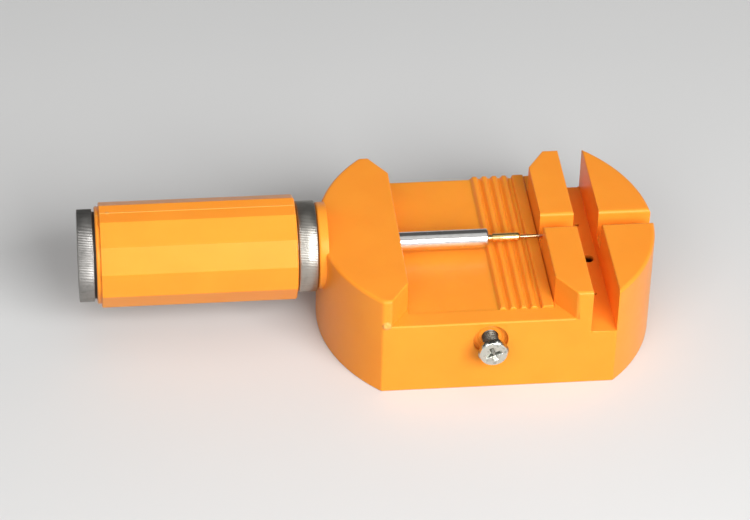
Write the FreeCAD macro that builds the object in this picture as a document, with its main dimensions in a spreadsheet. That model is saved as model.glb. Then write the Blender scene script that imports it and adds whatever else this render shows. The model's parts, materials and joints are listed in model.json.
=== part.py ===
import FreeCAD, Part
import os

import Sketcher

# Watch link remover, millimetres, +Z up.
# The origin lies on the table under the centre of the body. +X runs along the spindle to the jaw bar,
# and -Y is the front, with the clamp screw.

SIZES = {
    "Body": {
        "body_length": 79.2,
        "body_width": 57.0,
        "end_radius": 38.8,
        "rim_height": 18.76,
        "block_height": 26.15,
        "channel_height": 14.73,
        "left_block": 18.87,
        "bay_length": 33.93,
        "jaw_thickness": 7.97,
        "channel_width": 5.96,
        "relief_start": 21.75,
        "relief_run": 4.5,
        "slot_width": 4.58,
        "slot_height": 18.76,
        "top_bevel": 0.8,
        "slot_round": 0.9,
        "edge_round": 0.35,
        "rim_wall": 4.6,
        "pin_hole_radius": 1.4,
        "small_hole_radius": 0.5,
        "small_hole_offset": 13.5,
        "hole_depth": 12.0,
        "hole_row_shift": -0.6,
        "pin_hole_out": 0.6,
        "small_hole_out": 0.15,
        "nub_radius": 1.05,
        "nub_stand": 0.45,
        "nub_rise": 0.4,
        "nub_inset": 0.95,
    },
    "Collar and spindle line": {
        "spindle_height": 21.65,
        "collar_radius": 10.2,
        "collar_stand": 0.4,
        "collar_thickness": 2.4,
        "guide_length": 6.3,
        "running_gap": 0.05,
        "screw_room": 0.3,
    },
    "Spindle tube and thread bush": {
        "tube_radius": 6.0,
        "tube_reach": 13.2,
        "bush_radius": 4.5,
        "bush_length": 8.0,
        "bush_flange": 0.8,
        "bush_flange_radius": 5.6,
        "screw_radius": 3.0,
    },
    "Rod, holder and pin": {
        "rod_radius": 2.28,
        "rod_chamfer": 0.45,
        "tail_radius": 1.3,
        "tail_end": 1.2,
        "groove_depth": 0.35,
        "holder_radius": 1.0,
        "holder_length": 6.65,
        "neck_radius": 0.75,
        "neck_gap": 1.0,
        "neck_depth": 4.0,
        "pin_radius": 0.4,
        "pin_out": 5.45,
        "pin_grip": 4.0,
        "pin_entry": 0.5,
    },
    "Handle": {
        "handle_radius": 12.35,
        "facet_turn": 16.7,
        "sleeve_length": 45.4,
        "sleeve_bore": 9.2,
        "sleeve_chamfer": 0.5,
        "seat_length": 1.0,
        "seat_radius": 11.7,
        "ring_gap": 0.5,
        "ring_width": 4.2,
        "ring_radius": 10.7,
        "ring_spigot": 7.5,
        "ring_clearance": 0.5,
        "ring_seam": 0.25,
        "cap_gasket": 0.5,
        "gasket_step": 0.7,
        "hub_length": 10.0,
        "stop_washer_width": 1.0,
        "stop_gap": 0.3,
        "washer_bore_gap": 0.3,
        "set_screw_radius": 1.5,
        "set_screw_sink": 0.5,
        "set_screw_dimple": 0.4,
        "thrust_width": 0.7,
        "thrust_radius": 3.6,
        "thrust_gap": 0.1,
        "clip_width": 0.6,
        "clip_radius": 2.8,
        "cap_width": 3.65,
        "cap_radius": 10.8,
        "cap_chamfer": 0.8,
        "cap_spigot": 8.0,
        "cap_wall": 1.8,
    },
    "Platform": {
        "platform_gap": 0.3,
        "platform_drop": 1.01,
        "platform_plate": 2.0,
        "platform_skirt": 1.8,
        "platform_travel": 3.6,
        "platform_rest": 0.3,
        "rib_width": 1.6,
        "rib_height": 0.95,
        "rib_side": 0.3,
        "rib_pitch": 2.4,
        "rib_count": 4.0,
        "rib_from_jaw": 12.03,
        "stop_rib_from_jaw": 1.0,
        "stop_rib_width": 2.3,
        "stop_rib_round": 0.5,
        "web_width": 1.6,
        "web_depth": 5.0,
        "web_spacing": 14.0,
    },
    "Clamp": {
        "clamp_place": -2.1,
        "clamp_height": 13.62,
        "recess_radius": 4.0,
        "recess_sink": 1.5,
        "recess_web": 1.0,
        "nut_across": 7.0,
        "nut_gap": 0.05,
        "nut_clear": 0.1,
        "clamp_radius": 1.85,
        "head_radius": 3.55,
        "head_height": 1.4,
        "head_stand": 3.85,
        "cross_width": 1.0,
        "cross_length": 3.8,
        "cross_depth": 0.8,
        "pad_length": 1.8,
        "pad_gap": 0.1,
        "pad_radius": 1.82,
    },
    "Bottom cover": {
        "cover_thickness": 2.0,
        "cover_margin_long": 5.2,
        "cover_margin_wide": 2.5,
        "cover_gap": 0.15,
        "cover_screw_radius": 1.1,
        "cover_screw_head": 2.0,
        "cover_screw_length": 8.0,
        "cover_screw_inset": 2.5,
        "cover_screw_place": 18.0,
    },
}

# Places that several pieces share, as expressions on the sheet.
HALF_LENGTH = "(Sizes.body_length / 2)"
HALF_WIDTH = "(Sizes.body_width / 2)"
END_CENTRE = "(Sizes.body_length / 2 - Sizes.end_radius)"
CORNER = f"({END_CENTRE} + sqrt(Sizes.end_radius ^ 2 - {HALF_WIDTH} ^ 2))"
BAY_LEFT = f"(Sizes.left_block - {HALF_LENGTH})"
BAY_RIGHT = f"({BAY_LEFT} + Sizes.bay_length)"
JAW_RIGHT = f"({BAY_RIGHT} + Sizes.jaw_thickness)"
CHANNEL_RIGHT = f"({JAW_RIGHT} + Sizes.channel_width)"
WELL_HALF = f"({HALF_WIDTH} - Sizes.rim_wall)"
COLLAR_FACE = f"(-{HALF_LENGTH} - Sizes.collar_stand)"
GUIDE_END = f"({BAY_LEFT} - Sizes.guide_length)"
ROD_SHOULDER = f"({GUIDE_END} - Sizes.screw_room)"
TUBE_REAR = f"({COLLAR_FACE} - Sizes.tube_reach)"
BUSH_FRONT = f"({TUBE_REAR} + Sizes.bush_length)"
BUSH_REAR = f"({TUBE_REAR} - Sizes.bush_flange)"
RING_FACE = f"({COLLAR_FACE} - Sizes.ring_gap)"
RING_REAR = f"({RING_FACE} - Sizes.ring_width)"
SLEEVE_FRONT = f"({RING_REAR} - Sizes.ring_seam)"
SLEEVE_REAR = f"({SLEEVE_FRONT} - Sizes.sleeve_length)"
SEAT_REAR = f"({SLEEVE_REAR} - Sizes.seat_length)"
CAP_FACE = f"({SEAT_REAR} - Sizes.cap_gasket)"
CAP_REAR = f"({CAP_FACE} - Sizes.cap_width)"
HUB_FRONT = f"({BUSH_REAR} - Sizes.stop_gap - Sizes.stop_washer_width)"
HUB_REAR = f"({HUB_FRONT} - Sizes.hub_length)"
HUB_MIDDLE = f"({HUB_FRONT} - Sizes.hub_length / 2)"
THRUST_FRONT = f"({HUB_REAR} - Sizes.thrust_gap)"
CLIP_FRONT = f"({THRUST_FRONT} - Sizes.thrust_width)"
CLIP_REAR = f"({CLIP_FRONT} - Sizes.clip_width)"
PIN_TIP = f"({BAY_RIGHT} + Sizes.pin_entry)"
HOLDER_FRONT = f"({PIN_TIP} - Sizes.pin_out)"
HOLDER_REAR = f"({HOLDER_FRONT} - Sizes.holder_length)"
ROD_FRONT = f"({HOLDER_REAR} - Sizes.neck_gap)"
TAIL_BORE = "(Sizes.tail_radius + Sizes.running_gap)"
SKIRT_FOOT = "(Sizes.cover_thickness + Sizes.platform_travel + Sizes.platform_rest)"
PLATFORM_TOP = "(Sizes.spindle_height - Sizes.rod_radius - Sizes.platform_drop)"
NOTCH_FLOOR = f"({PLATFORM_TOP} - Sizes.platform_plate - Sizes.platform_travel - Sizes.platform_gap)"
PLATFORM_LEFT = f"({BAY_LEFT} + Sizes.platform_gap)"
PLATFORM_RIGHT = f"({BAY_RIGHT} - Sizes.platform_gap)"
SKIRT_HALF = f"({WELL_HALF} - Sizes.platform_gap)"
PLATFORM_BACK = f"({HALF_WIDTH} - Sizes.platform_gap)"
COVER_LEFT = f"({BAY_LEFT} - Sizes.cover_margin_long)"
COVER_RIGHT = f"({BAY_RIGHT} + Sizes.cover_margin_long)"
COVER_HALF = f"({WELL_HALF} + Sizes.cover_margin_wide)"
RECESS_FLOOR = f"(-{HALF_WIDTH} + Sizes.recess_sink)"
NUT_SEAT = f"({RECESS_FLOOR} + Sizes.recess_web)"
PAD_FACE = f"(-{SKIRT_HALF} - Sizes.pad_gap)"
PAD_REAR = f"({PAD_FACE} - Sizes.pad_length)"
HEAD_UNDER = f"(-{HALF_WIDTH} - Sizes.head_stand)"

doc = FreeCAD.newDocument("WatchLinkRemover")
sheet = doc.addObject("Spreadsheet::Sheet", "Sizes")


def fill_sheet():
    """Write every driving dimension into the sheet, one named cell each, under its group's heading."""
    row = 0
    for group, sizes in SIZES.items():
        row += 1
        sheet.set(f"A{row}", group)
        for alias, value in sizes.items():
            row += 1
            sheet.set(f"A{row}", alias.replace("_", " "))
            sheet.set(f"B{row}", str(value))
            sheet.setAlias(f"B{row}", alias)
    doc.recompute()


def size(expression):
    """The number that an expression on the sheet gives now."""
    return float(sheet.evalExpression(str(expression)))


def new_body(name):
    """A body whose label names its STEP file."""
    body = doc.addObject("PartDesign::Body", "Body_" + name)
    body.Label = name
    return body


def plane_of(body, role):
    """One of the body's own origin planes, such as XY_Plane."""
    return next(item for item in body.Origin.OriginFeatures if item.Role == role)


def add_sketch(body, name, role, offset="0"):
    """An empty sketch on an origin plane, moved along the plane's normal by an expression."""
    sketch = body.newObject("Sketcher::SketchObject", f"{body.Label}_{name}")
    sketch.AttachmentSupport = (plane_of(body, role), [""])
    sketch.MapMode = "FlatFace"
    sketch.setExpression("AttachmentOffset.Base.z", str(offset))
    return sketch


def pin_point(sketch, edge, end, place):
    """Hold one end of a sketch edge at a place given as two expressions."""
    for kind, expression in zip(("DistanceX", "DistanceY"), place):
        index = sketch.addConstraint(Sketcher.Constraint(kind, -1, 1, edge, end, size(expression)))
        sketch.setExpression(f"Constraints[{index}]", str(expression))


def flat_point(place):
    """A point in the sketch plane from two expressions."""
    return FreeCAD.Vector(size(place[0]), size(place[1]), 0)


def add_outline(sketch, places, arcs=None):
    """A closed outline through places; arcs maps a side's number to its middle point and radius."""
    arcs = arcs or {}
    first = sketch.GeometryCount
    count = len(places)
    clockwise = []
    for side, place in enumerate(places):
        start = flat_point(place)
        end = flat_point(places[(side + 1) % count])
        if side in arcs:
            middle = flat_point(arcs[side]["through"])
            sketch.addGeometry(Part.Arc(start, middle, end))
            clockwise.append((middle - start).cross(end - start).z < 0)
        else:
            sketch.addGeometry(Part.LineSegment(start, end))
            clockwise.append(False)
    # A sketch counts an arc's ends anticlockwise, so a clockwise side starts at its second end.
    for side, place in enumerate(places):
        following = (side + 1) % count
        near = 2 if clockwise[side] else 1
        next_near = 2 if clockwise[following] else 1
        ends = (first + side, 3 - near, first + following, next_near)
        sketch.addConstraint(Sketcher.Constraint("Coincident", *ends))
        pin_point(sketch, first + side, near, place)
        if side in arcs:
            radius = arcs[side]["radius"]
            index = sketch.addConstraint(Sketcher.Constraint("Radius", first + side, size(radius)))
            sketch.setExpression(f"Constraints[{index}]", radius)


def rectangle(left, low, right, high):
    """The four corners of a rectangle, as expression pairs."""
    return [(left, low), (right, low), (right, high), (left, high)]


def add_circle(sketch, place, radius):
    """A circle with its centre held at a place and its radius bound to an expression."""
    index = sketch.addGeometry(Part.Circle(flat_point(place), FreeCAD.Vector(0, 0, 1), size(radius)))
    pin_point(sketch, index, 3, place)
    number = sketch.addConstraint(Sketcher.Constraint("Radius", index, size(radius)))
    sketch.setExpression(f"Constraints[{number}]", radius)


def add_pad(body, name, sketch, length, backwards=False):
    """A pad of a sketch, with its length bound to an expression."""
    feature = body.newObject("PartDesign::Pad", f"{body.Label}_{name}")
    feature.Profile = sketch
    feature.setExpression("Length", length)
    feature.Reversed = backwards
    sketch.Visibility = False
    doc.recompute()
    return feature


def add_pocket(body, name, sketch, depth, backwards=False):
    """A pocket that has to remove material, with its depth bound to an expression."""
    before = body.Shape.Volume
    feature = body.newObject("PartDesign::Pocket", f"{body.Label}_{name}")
    feature.Profile = sketch
    feature.setExpression("Length", depth)
    feature.Reversed = backwards
    sketch.Visibility = False
    doc.recompute()
    if not body.Shape.Volume < before - 1e-6:
        raise ValueError(f"{body.Label} {name} removes nothing")
    return feature


def add_turned(body, name, places, cut=False):
    """A turned solid or a turned cut: a closed profile of x and radius, turned about the spindle line."""
    sketch = add_sketch(body, name + "_profile", "XZ_Plane")
    add_outline(sketch, places)
    kind = "PartDesign::Groove" if cut else "PartDesign::Revolution"
    before = body.Shape.Volume if cut else 0
    feature = body.newObject(kind, f"{body.Label}_{name}")
    feature.Profile = sketch
    feature.ReferenceAxis = (sketch, ["H_Axis"])
    feature.Angle = 360
    sketch.Visibility = False
    doc.recompute()
    if cut and not body.Shape.Volume < before - 1e-6:
        raise ValueError(f"{body.Label} {name} removes nothing")
    return feature


def add_bevel(body, name, edges, width):
    """Bevel the edges of the last feature that a test picks out by their geometry."""
    base = body.Tip
    names = [f"Edge{number}" for number, edge in enumerate(base.Shape.Edges, 1) if edges(edge)]
    feature = body.newObject("PartDesign::Chamfer", f"{body.Label}_{name}")
    feature.Base = (base, names)
    feature.setExpression("Size", width)
    doc.recompute()
    return feature


def lift_to_spindle(body):
    """Set a piece, drawn about its own X axis, at the height of the spindle."""
    body.setExpression("Placement.Base.z", "Sizes.spindle_height")
    return body


def level_at(edge, height):
    """Whether every end and the middle of an edge lie at one height."""
    middle = edge.valueAt((edge.FirstParameter + edge.LastParameter) / 2)
    heights = [vertex.Z for vertex in edge.Vertexes] + [middle.z]
    return all(abs(value - height) < 1e-4 for value in heights)


def make_base_body():
    """The moulding: end blocks, jaw bar, channel, the rim round the platform's well and the collar."""
    body = new_body("base_body")

    outline = add_sketch(body, "outline", "XY_Plane")
    corners = rectangle(f"-{CORNER}", f"-{HALF_WIDTH}", CORNER, HALF_WIDTH)
    ends = {
        1: {"through": (HALF_LENGTH, "0"), "radius": "Sizes.end_radius"},
        3: {"through": (f"-{HALF_LENGTH}", "0"), "radius": "Sizes.end_radius"},
    }
    add_outline(outline, corners, ends)
    add_pad(body, "block", outline, "Sizes.block_height")

    top = size("Sizes.block_height")
    add_bevel(body, "top_bevel", lambda edge: level_at(edge, top), "Sizes.top_bevel")

    add_collar(body)

    bay = add_sketch(body, "bay", "XY_Plane", "Sizes.block_height + 1")
    add_outline(bay, bay_outline())
    add_pocket(body, "bay_cut", bay, "Sizes.block_height + 1 - Sizes.rim_height")

    well = add_sketch(body, "well", "XY_Plane", "Sizes.rim_height + 1")
    add_outline(well, rectangle(BAY_LEFT, f"-{WELL_HALF}", BAY_RIGHT, WELL_HALF))
    add_pocket(body, "well_cut", well, "Sizes.rim_height + 2")

    notch = add_sketch(body, "notch", "XY_Plane", "Sizes.rim_height + 1")
    add_outline(notch, rectangle(BAY_LEFT, f"({WELL_HALF} - 1)", BAY_RIGHT, f"({HALF_WIDTH} + 1)"))
    add_pocket(body, "notch_cut", notch, f"Sizes.rim_height + 1 - {NOTCH_FLOOR}")

    add_channel(body)
    add_cross_slot(body)
    add_spindle_bore(body)
    add_support_holes(body)
    add_clamp_seat(body)
    add_cover_seat(body)
    add_gate_nub(body)
    return body


def bay_outline():
    """Plan of the bay above the rim: square faces to the bracelet, relieved outwards at both ends."""
    out = f"({HALF_WIDTH} + 2)"
    run_out = f"({HALF_WIDTH} - Sizes.relief_start)"
    slope = f"(Sizes.relief_run * ({out} - Sizes.relief_start) / {run_out})"
    left = f"({BAY_LEFT} - {slope})"
    right = f"({BAY_RIGHT} + {slope})"
    return [
        (left, f"-{out}"),
        (right, f"-{out}"),
        (BAY_RIGHT, "-Sizes.relief_start"),
        (BAY_RIGHT, "Sizes.relief_start"),
        (right, out),
        (left, out),
        (BAY_LEFT, "Sizes.relief_start"),
        (BAY_LEFT, "-Sizes.relief_start"),
    ]


def add_collar(body):
    """The round collar on the spindle line, which stands above the left block, and the tube behind it."""
    line = ("0", "Sizes.spindle_height")
    collar = add_sketch(body, "collar", "YZ_Plane", COLLAR_FACE)
    add_circle(collar, line, "Sizes.collar_radius")
    add_pad(body, "collar_disc", collar, "Sizes.collar_thickness")
    face = size(COLLAR_FACE)

    def rear_edge(edge):
        return all(abs(vertex.X - face) < 1e-4 for vertex in edge.Vertexes)

    add_bevel(body, "collar_bevel", rear_edge, "Sizes.collar_stand * 0.85")
    tube = add_sketch(body, "tube", "YZ_Plane", TUBE_REAR)
    add_circle(tube, line, "Sizes.tube_radius")
    add_pad(body, "tube_bar", tube, "Sizes.tube_reach + 0.5")


def add_channel(body):
    """The low channel across the body behind the jaw bar, with rounded shoulders at the block tops."""
    channel = add_sketch(body, "channel", "XZ_Plane", f"({HALF_WIDTH} + 1)")
    above = "(Sizes.block_height + 1)"
    shoulder = "(Sizes.block_height - Sizes.edge_round)"
    left = f"({JAW_RIGHT} - Sizes.edge_round)"
    right = f"({CHANNEL_RIGHT} + Sizes.edge_round)"
    places = [
        (JAW_RIGHT, "Sizes.channel_height"),
        (CHANNEL_RIGHT, "Sizes.channel_height"),
        (CHANNEL_RIGHT, shoulder),
        (right, "Sizes.block_height"),
        (right, above),
        (left, above),
        (left, "Sizes.block_height"),
        (JAW_RIGHT, shoulder),
    ]
    bend = "(Sizes.edge_round * (1 - sqrt(0.5)))"
    arcs = {
        2: {
            "through": (f"({CHANNEL_RIGHT} + {bend})", f"(Sizes.block_height - {bend})"),
            "radius": "Sizes.edge_round",
        },
        6: {
            "through": (f"({JAW_RIGHT} - {bend})", f"(Sizes.block_height - {bend})"),
            "radius": "Sizes.edge_round",
        },
    }
    add_outline(channel, places, arcs)
    add_pocket(body, "channel_cut", channel, "Sizes.body_width + 2")


def add_cross_slot(body):
    """The slot that the pin and the pushed-out link pin enter, through the jaw bar and the end block."""
    slot = add_sketch(body, "slot", "YZ_Plane", f"({BAY_RIGHT} - 1)")
    wall = "(Sizes.slot_width / 2)"
    lip = f"({wall} + Sizes.slot_round)"
    above = "(Sizes.block_height + 1)"
    shoulder = "(Sizes.block_height - Sizes.slot_round)"
    places = [
        (f"-{wall}", "Sizes.slot_height"),
        (wall, "Sizes.slot_height"),
        (wall, shoulder),
        (lip, "Sizes.block_height"),
        (lip, above),
        (f"-{lip}", above),
        (f"-{lip}", "Sizes.block_height"),
        (f"-{wall}", shoulder),
    ]
    bend = "(Sizes.slot_round * (1 - sqrt(0.5)))"
    level = f"(Sizes.block_height - {bend})"
    arcs = {
        2: {"through": (f"({wall} + {bend})", level), "radius": "Sizes.slot_round"},
        6: {"through": (f"(-{wall} - {bend})", level), "radius": "Sizes.slot_round"},
    }
    add_outline(slot, places, arcs)
    add_pocket(body, "slot_cut", slot, f"{HALF_LENGTH} + 2 - {BAY_RIGHT}", backwards=True)


def add_spindle_bore(body):
    """The stepped bore on the spindle line: bush seat, room for the drive screw, then the rod's guide."""
    guide = "(Sizes.rod_radius + Sizes.running_gap)"
    room = "(Sizes.screw_radius + Sizes.screw_room)"
    sketch = add_sketch(body, "bore", "XZ_Plane")
    line = "Sizes.spindle_height"
    places = [
        (f"({TUBE_REAR} - 1)", line),
        (f"({BAY_LEFT} + 1)", line),
        (f"({BAY_LEFT} + 1)", f"({line} + {guide})"),
        (GUIDE_END, f"({line} + {guide})"),
        (GUIDE_END, f"({line} + {room})"),
        (BUSH_FRONT, f"({line} + {room})"),
        (BUSH_FRONT, f"({line} + Sizes.bush_radius)"),
        (f"({TUBE_REAR} - 1)", f"({line} + Sizes.bush_radius)"),
    ]
    add_outline(sketch, places)
    before = body.Shape.Volume
    groove = body.newObject("PartDesign::Groove", "base_body_bore_cut")
    groove.Profile = sketch
    groove.ReferenceAxis = (sketch, ["Edge1"])
    groove.Angle = 360
    sketch.Visibility = False
    doc.recompute()
    if not body.Shape.Volume < before - 1e-6:
        raise ValueError("the spindle bore removes nothing")


def add_support_holes(body):
    """Three blind holes in the channel floor: one for a link pin, two fine ones at the sides."""
    middle = f"(({JAW_RIGHT} + {CHANNEL_RIGHT}) / 2)"
    holes = add_sketch(body, "holes", "XY_Plane", "Sizes.channel_height")
    row = "Sizes.hole_row_shift"
    side = f"({middle} + Sizes.small_hole_out)"
    add_circle(holes, (f"({middle} + Sizes.pin_hole_out)", row), "Sizes.pin_hole_radius")
    add_circle(holes, (side, f"({row} + Sizes.small_hole_offset)"), "Sizes.small_hole_radius")
    add_circle(holes, (side, f"({row} - Sizes.small_hole_offset)"), "Sizes.small_hole_radius")
    add_pocket(body, "hole_cut", holes, "Sizes.hole_depth")


def add_gate_nub(body):
    """The small round gate mark on the front corner of the left block, half over the rim's top edge."""
    nub = add_sketch(body, "nub", "XZ_Plane", f"({HALF_WIDTH} + Sizes.nub_stand)")
    place = (f"(-{CORNER} + Sizes.nub_inset)", "(Sizes.rim_height + Sizes.nub_rise)")
    add_circle(nub, place, "Sizes.nub_radius")
    add_pad(body, "nub_disc", nub, "Sizes.nub_stand + 0.5", backwards=True)


def add_clamp_seat(body):
    """The round recess in the front wall, the screw's hole and the nut's six-sided pocket behind it."""
    place = ("Sizes.clamp_place", "Sizes.clamp_height")
    recess = add_sketch(body, "recess", "XZ_Plane", f"({HALF_WIDTH} + 1)")
    add_circle(recess, place, "Sizes.recess_radius")
    add_pocket(body, "recess_cut", recess, "Sizes.recess_sink + 1")
    hole = add_sketch(body, "clamp_hole", "XZ_Plane", f"-({RECESS_FLOOR} - 1)")
    add_circle(hole, place, "Sizes.clamp_radius + Sizes.nut_clear")
    add_pocket(body, "clamp_hole_cut", hole, "Sizes.rim_wall - Sizes.recess_sink + 1.5")
    pocket = add_sketch(body, "nut_pocket", "XZ_Plane", f"-{NUT_SEAT}")
    add_outline(pocket, hexagon("(Sizes.nut_across / 2 + Sizes.nut_gap)"))
    add_pocket(body, "nut_pocket_cut", pocket, "Sizes.rim_wall")


def hexagon(half_across):
    """The nut's six corners round the clamp screw's line, from half its width across flats."""
    corner = f"({half_across} / cos(30))"
    turns = [f"{60 * number + 30}" for number in range(6)]
    return [
        (f"(Sizes.clamp_place + {corner} * cos({turn}))", f"(Sizes.clamp_height + {corner} * sin({turn}))")
        for turn in turns
    ]


def add_cover_seat(body):
    """The recess under the body for the bottom cover, and the two screw holes in its ledge."""
    seat = add_sketch(body, "cover_seat", "XY_Plane", "-1")
    gap = "Sizes.cover_gap"
    left = f"({COVER_LEFT} - {gap})"
    right = f"({COVER_RIGHT} + {gap})"
    half = f"({COVER_HALF} + {gap})"
    add_outline(seat, rectangle(left, f"-{half}", right, half))
    add_pocket(body, "cover_seat_cut", seat, "1 + Sizes.cover_thickness", backwards=True)
    holes = add_sketch(body, "cover_holes", "XY_Plane", "Sizes.cover_thickness")
    for place in cover_screw_places():
        add_circle(holes, place, "Sizes.cover_screw_radius")
    depth = "Sizes.cover_screw_length - Sizes.cover_thickness"
    add_pocket(body, "cover_hole_cut", holes, depth, backwards=True)


def cover_screw_places():
    """The two screw places, one on each ledge beside the well, at opposite corners."""
    left = f"({COVER_LEFT} + Sizes.cover_screw_inset)"
    right = f"({COVER_RIGHT} - Sizes.cover_screw_inset)"
    return [(left, "-Sizes.cover_screw_place"), (right, "Sizes.cover_screw_place")]


def make_thread_bush():
    """The fixed nut of the spindle: a flanged bush pressed into the end of the tube."""
    bore = "(Sizes.screw_radius + Sizes.running_gap)"
    body = new_body("thread_bush")
    add_turned(body, "bush", [
        (BUSH_REAR, bore),
        (BUSH_FRONT, bore),
        (BUSH_FRONT, "Sizes.bush_radius"),
        (TUBE_REAR, "Sizes.bush_radius"),
        (TUBE_REAR, "Sizes.bush_flange_radius"),
        (BUSH_REAR, "Sizes.bush_flange_radius"),
    ])
    return lift_to_spindle(body)


def make_drive_screw():
    """The hollow screw that the handle turns: its nose pushes the rod's shoulder."""
    nose = f"({ROD_SHOULDER} - Sizes.thrust_gap)"
    body = new_body("drive_screw")
    add_turned(body, "screw", [
        (HUB_REAR, TAIL_BORE),
        (nose, TAIL_BORE),
        (nose, "Sizes.screw_radius"),
        (HUB_REAR, "Sizes.screw_radius"),
    ])
    dimple = add_sketch(body, "dimple", "XY_Plane", "Sizes.screw_radius - Sizes.set_screw_dimple")
    add_circle(dimple, (HUB_MIDDLE, "0"), "Sizes.set_screw_radius")
    add_pocket(body, "dimple_cut", dimple, "1", backwards=True)
    return lift_to_spindle(body)


def make_push_rod():
    """The polished rod: a plain nose with a tapped end, and a thin tail through the drive screw."""
    tail = "Sizes.tail_radius"
    groove = "(Sizes.tail_radius - Sizes.groove_depth)"
    tap_end = f"({ROD_FRONT} - Sizes.neck_depth)"
    rear = f"({CLIP_REAR} - Sizes.tail_end)"
    body = new_body("push_rod")
    add_turned(body, "rod", [
        (rear, "0"),
        (tap_end, "0"),
        (tap_end, "Sizes.neck_radius"),
        (ROD_FRONT, "Sizes.neck_radius"),
        (ROD_FRONT, "(Sizes.rod_radius - Sizes.rod_chamfer)"),
        (f"({ROD_FRONT} - Sizes.rod_chamfer)", "Sizes.rod_radius"),
        (ROD_SHOULDER, "Sizes.rod_radius"),
        (ROD_SHOULDER, tail),
        (CLIP_FRONT, tail),
        (CLIP_FRONT, groove),
        (CLIP_REAR, groove),
        (CLIP_REAR, tail),
        (rear, tail),
    ])
    return lift_to_spindle(body)


def make_pin_holder():
    """The brass tip: a neck screwed into the rod and a fine bore that grips the pin."""
    grip_end = f"({HOLDER_FRONT} - Sizes.pin_grip)"
    shank_end = f"({ROD_FRONT} - Sizes.neck_depth)"
    body = new_body("pin_holder")
    add_turned(body, "holder", [
        (shank_end, "0"),
        (grip_end, "0"),
        (grip_end, "Sizes.pin_radius"),
        (HOLDER_FRONT, "Sizes.pin_radius"),
        (HOLDER_FRONT, "Sizes.holder_radius"),
        (HOLDER_REAR, "Sizes.holder_radius"),
        (HOLDER_REAR, "Sizes.neck_radius"),
        (shank_end, "Sizes.neck_radius"),
    ])
    return lift_to_spindle(body)


def make_push_pin():
    """The fine pin that pushes a link pin out."""
    rear = f"({HOLDER_FRONT} - Sizes.pin_grip)"
    body = new_body("push_pin")
    add_turned(body, "pin", [
        (rear, "0"),
        (PIN_TIP, "0"),
        (PIN_TIP, "Sizes.pin_radius"),
        (rear, "Sizes.pin_radius"),
    ])
    return lift_to_spindle(body)


def make_ring(name, low, high, bore, radius):
    """A plain flat ring on the spindle line."""
    body = new_body(name)
    add_turned(body, "ring", [(low, bore), (high, bore), (high, radius), (low, radius)])
    return lift_to_spindle(body)


def make_retaining_clip():
    """The snap clip in the groove of the rod's tail, open on one side."""
    body = new_body("retaining_clip")
    groove = "(Sizes.tail_radius - Sizes.groove_depth)"
    add_turned(body, "ring", [
        (CLIP_REAR, groove),
        (CLIP_FRONT, groove),
        (CLIP_FRONT, "Sizes.clip_radius"),
        (CLIP_REAR, "Sizes.clip_radius"),
    ])
    mouth = add_sketch(body, "mouth", "YZ_Plane", f"({CLIP_REAR} - 1)")
    add_outline(mouth, rectangle(f"-{groove}", "-(Sizes.clip_radius + 1)", groove, "0"))
    add_pocket(body, "mouth_cut", mouth, "Sizes.clip_width + 2", backwards=True)
    return lift_to_spindle(body)


def make_drive_hub():
    """The plug pressed into the grip, bored for the drive screw, with a tapped hole for the set screw."""
    body = new_body("drive_hub")
    add_turned(body, "hub", [
        (HUB_REAR, "Sizes.screw_radius"),
        (HUB_FRONT, "Sizes.screw_radius"),
        (HUB_FRONT, "Sizes.sleeve_bore"),
        (HUB_REAR, "Sizes.sleeve_bore"),
    ])
    hole = add_sketch(body, "set_hole", "XY_Plane", "0")
    add_circle(hole, (HUB_MIDDLE, "0"), "Sizes.set_screw_radius")
    add_pocket(body, "set_hole_cut", hole, "Sizes.sleeve_bore + 1", backwards=True)
    return lift_to_spindle(body)


def make_hub_set_screw():
    """The set screw that locks the drive screw in the hub."""
    low = "(Sizes.screw_radius - Sizes.set_screw_dimple)"
    body = new_body("hub_set_screw")
    disc = add_sketch(body, "disc", "XY_Plane", low)
    add_circle(disc, (HUB_MIDDLE, "0"), "Sizes.set_screw_radius")
    add_pad(body, "screw", disc, f"Sizes.sleeve_bore - Sizes.set_screw_sink - {low}")
    return lift_to_spindle(body)


def make_handle_sleeve():
    """The twelve-sided grip with its round seat for the cap, bored through."""
    body = new_body("handle_sleeve")
    facets = add_sketch(body, "facets", "YZ_Plane", SLEEVE_REAR)
    corner = "Sizes.handle_radius"
    turns = [f"(Sizes.facet_turn + {30 * number})" for number in range(12)]
    add_outline(facets, [(f"({corner} * cos({turn}))", f"({corner} * sin({turn}))") for turn in turns])
    add_pad(body, "grip", facets, "Sizes.sleeve_length")
    bevel_end = size(SLEEVE_FRONT)

    def front_edge(edge):
        return all(abs(vertex.X - bevel_end) < 1e-4 for vertex in edge.Vertexes)

    add_bevel(body, "front_bevel", front_edge, "Sizes.sleeve_chamfer")
    seat = add_sketch(body, "seat", "YZ_Plane", SEAT_REAR)
    add_circle(seat, ("0", "0"), "Sizes.seat_radius")
    add_pad(body, "seat_disc", seat, "Sizes.seat_length + 0.5")
    bore = add_sketch(body, "bore", "YZ_Plane", f"({SEAT_REAR} - 1)")
    add_circle(bore, ("0", "0"), "Sizes.sleeve_bore")
    add_pocket(body, "bore_cut", bore, "Sizes.sleeve_length + Sizes.seat_length + 2", backwards=True)
    return lift_to_spindle(body)


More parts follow.
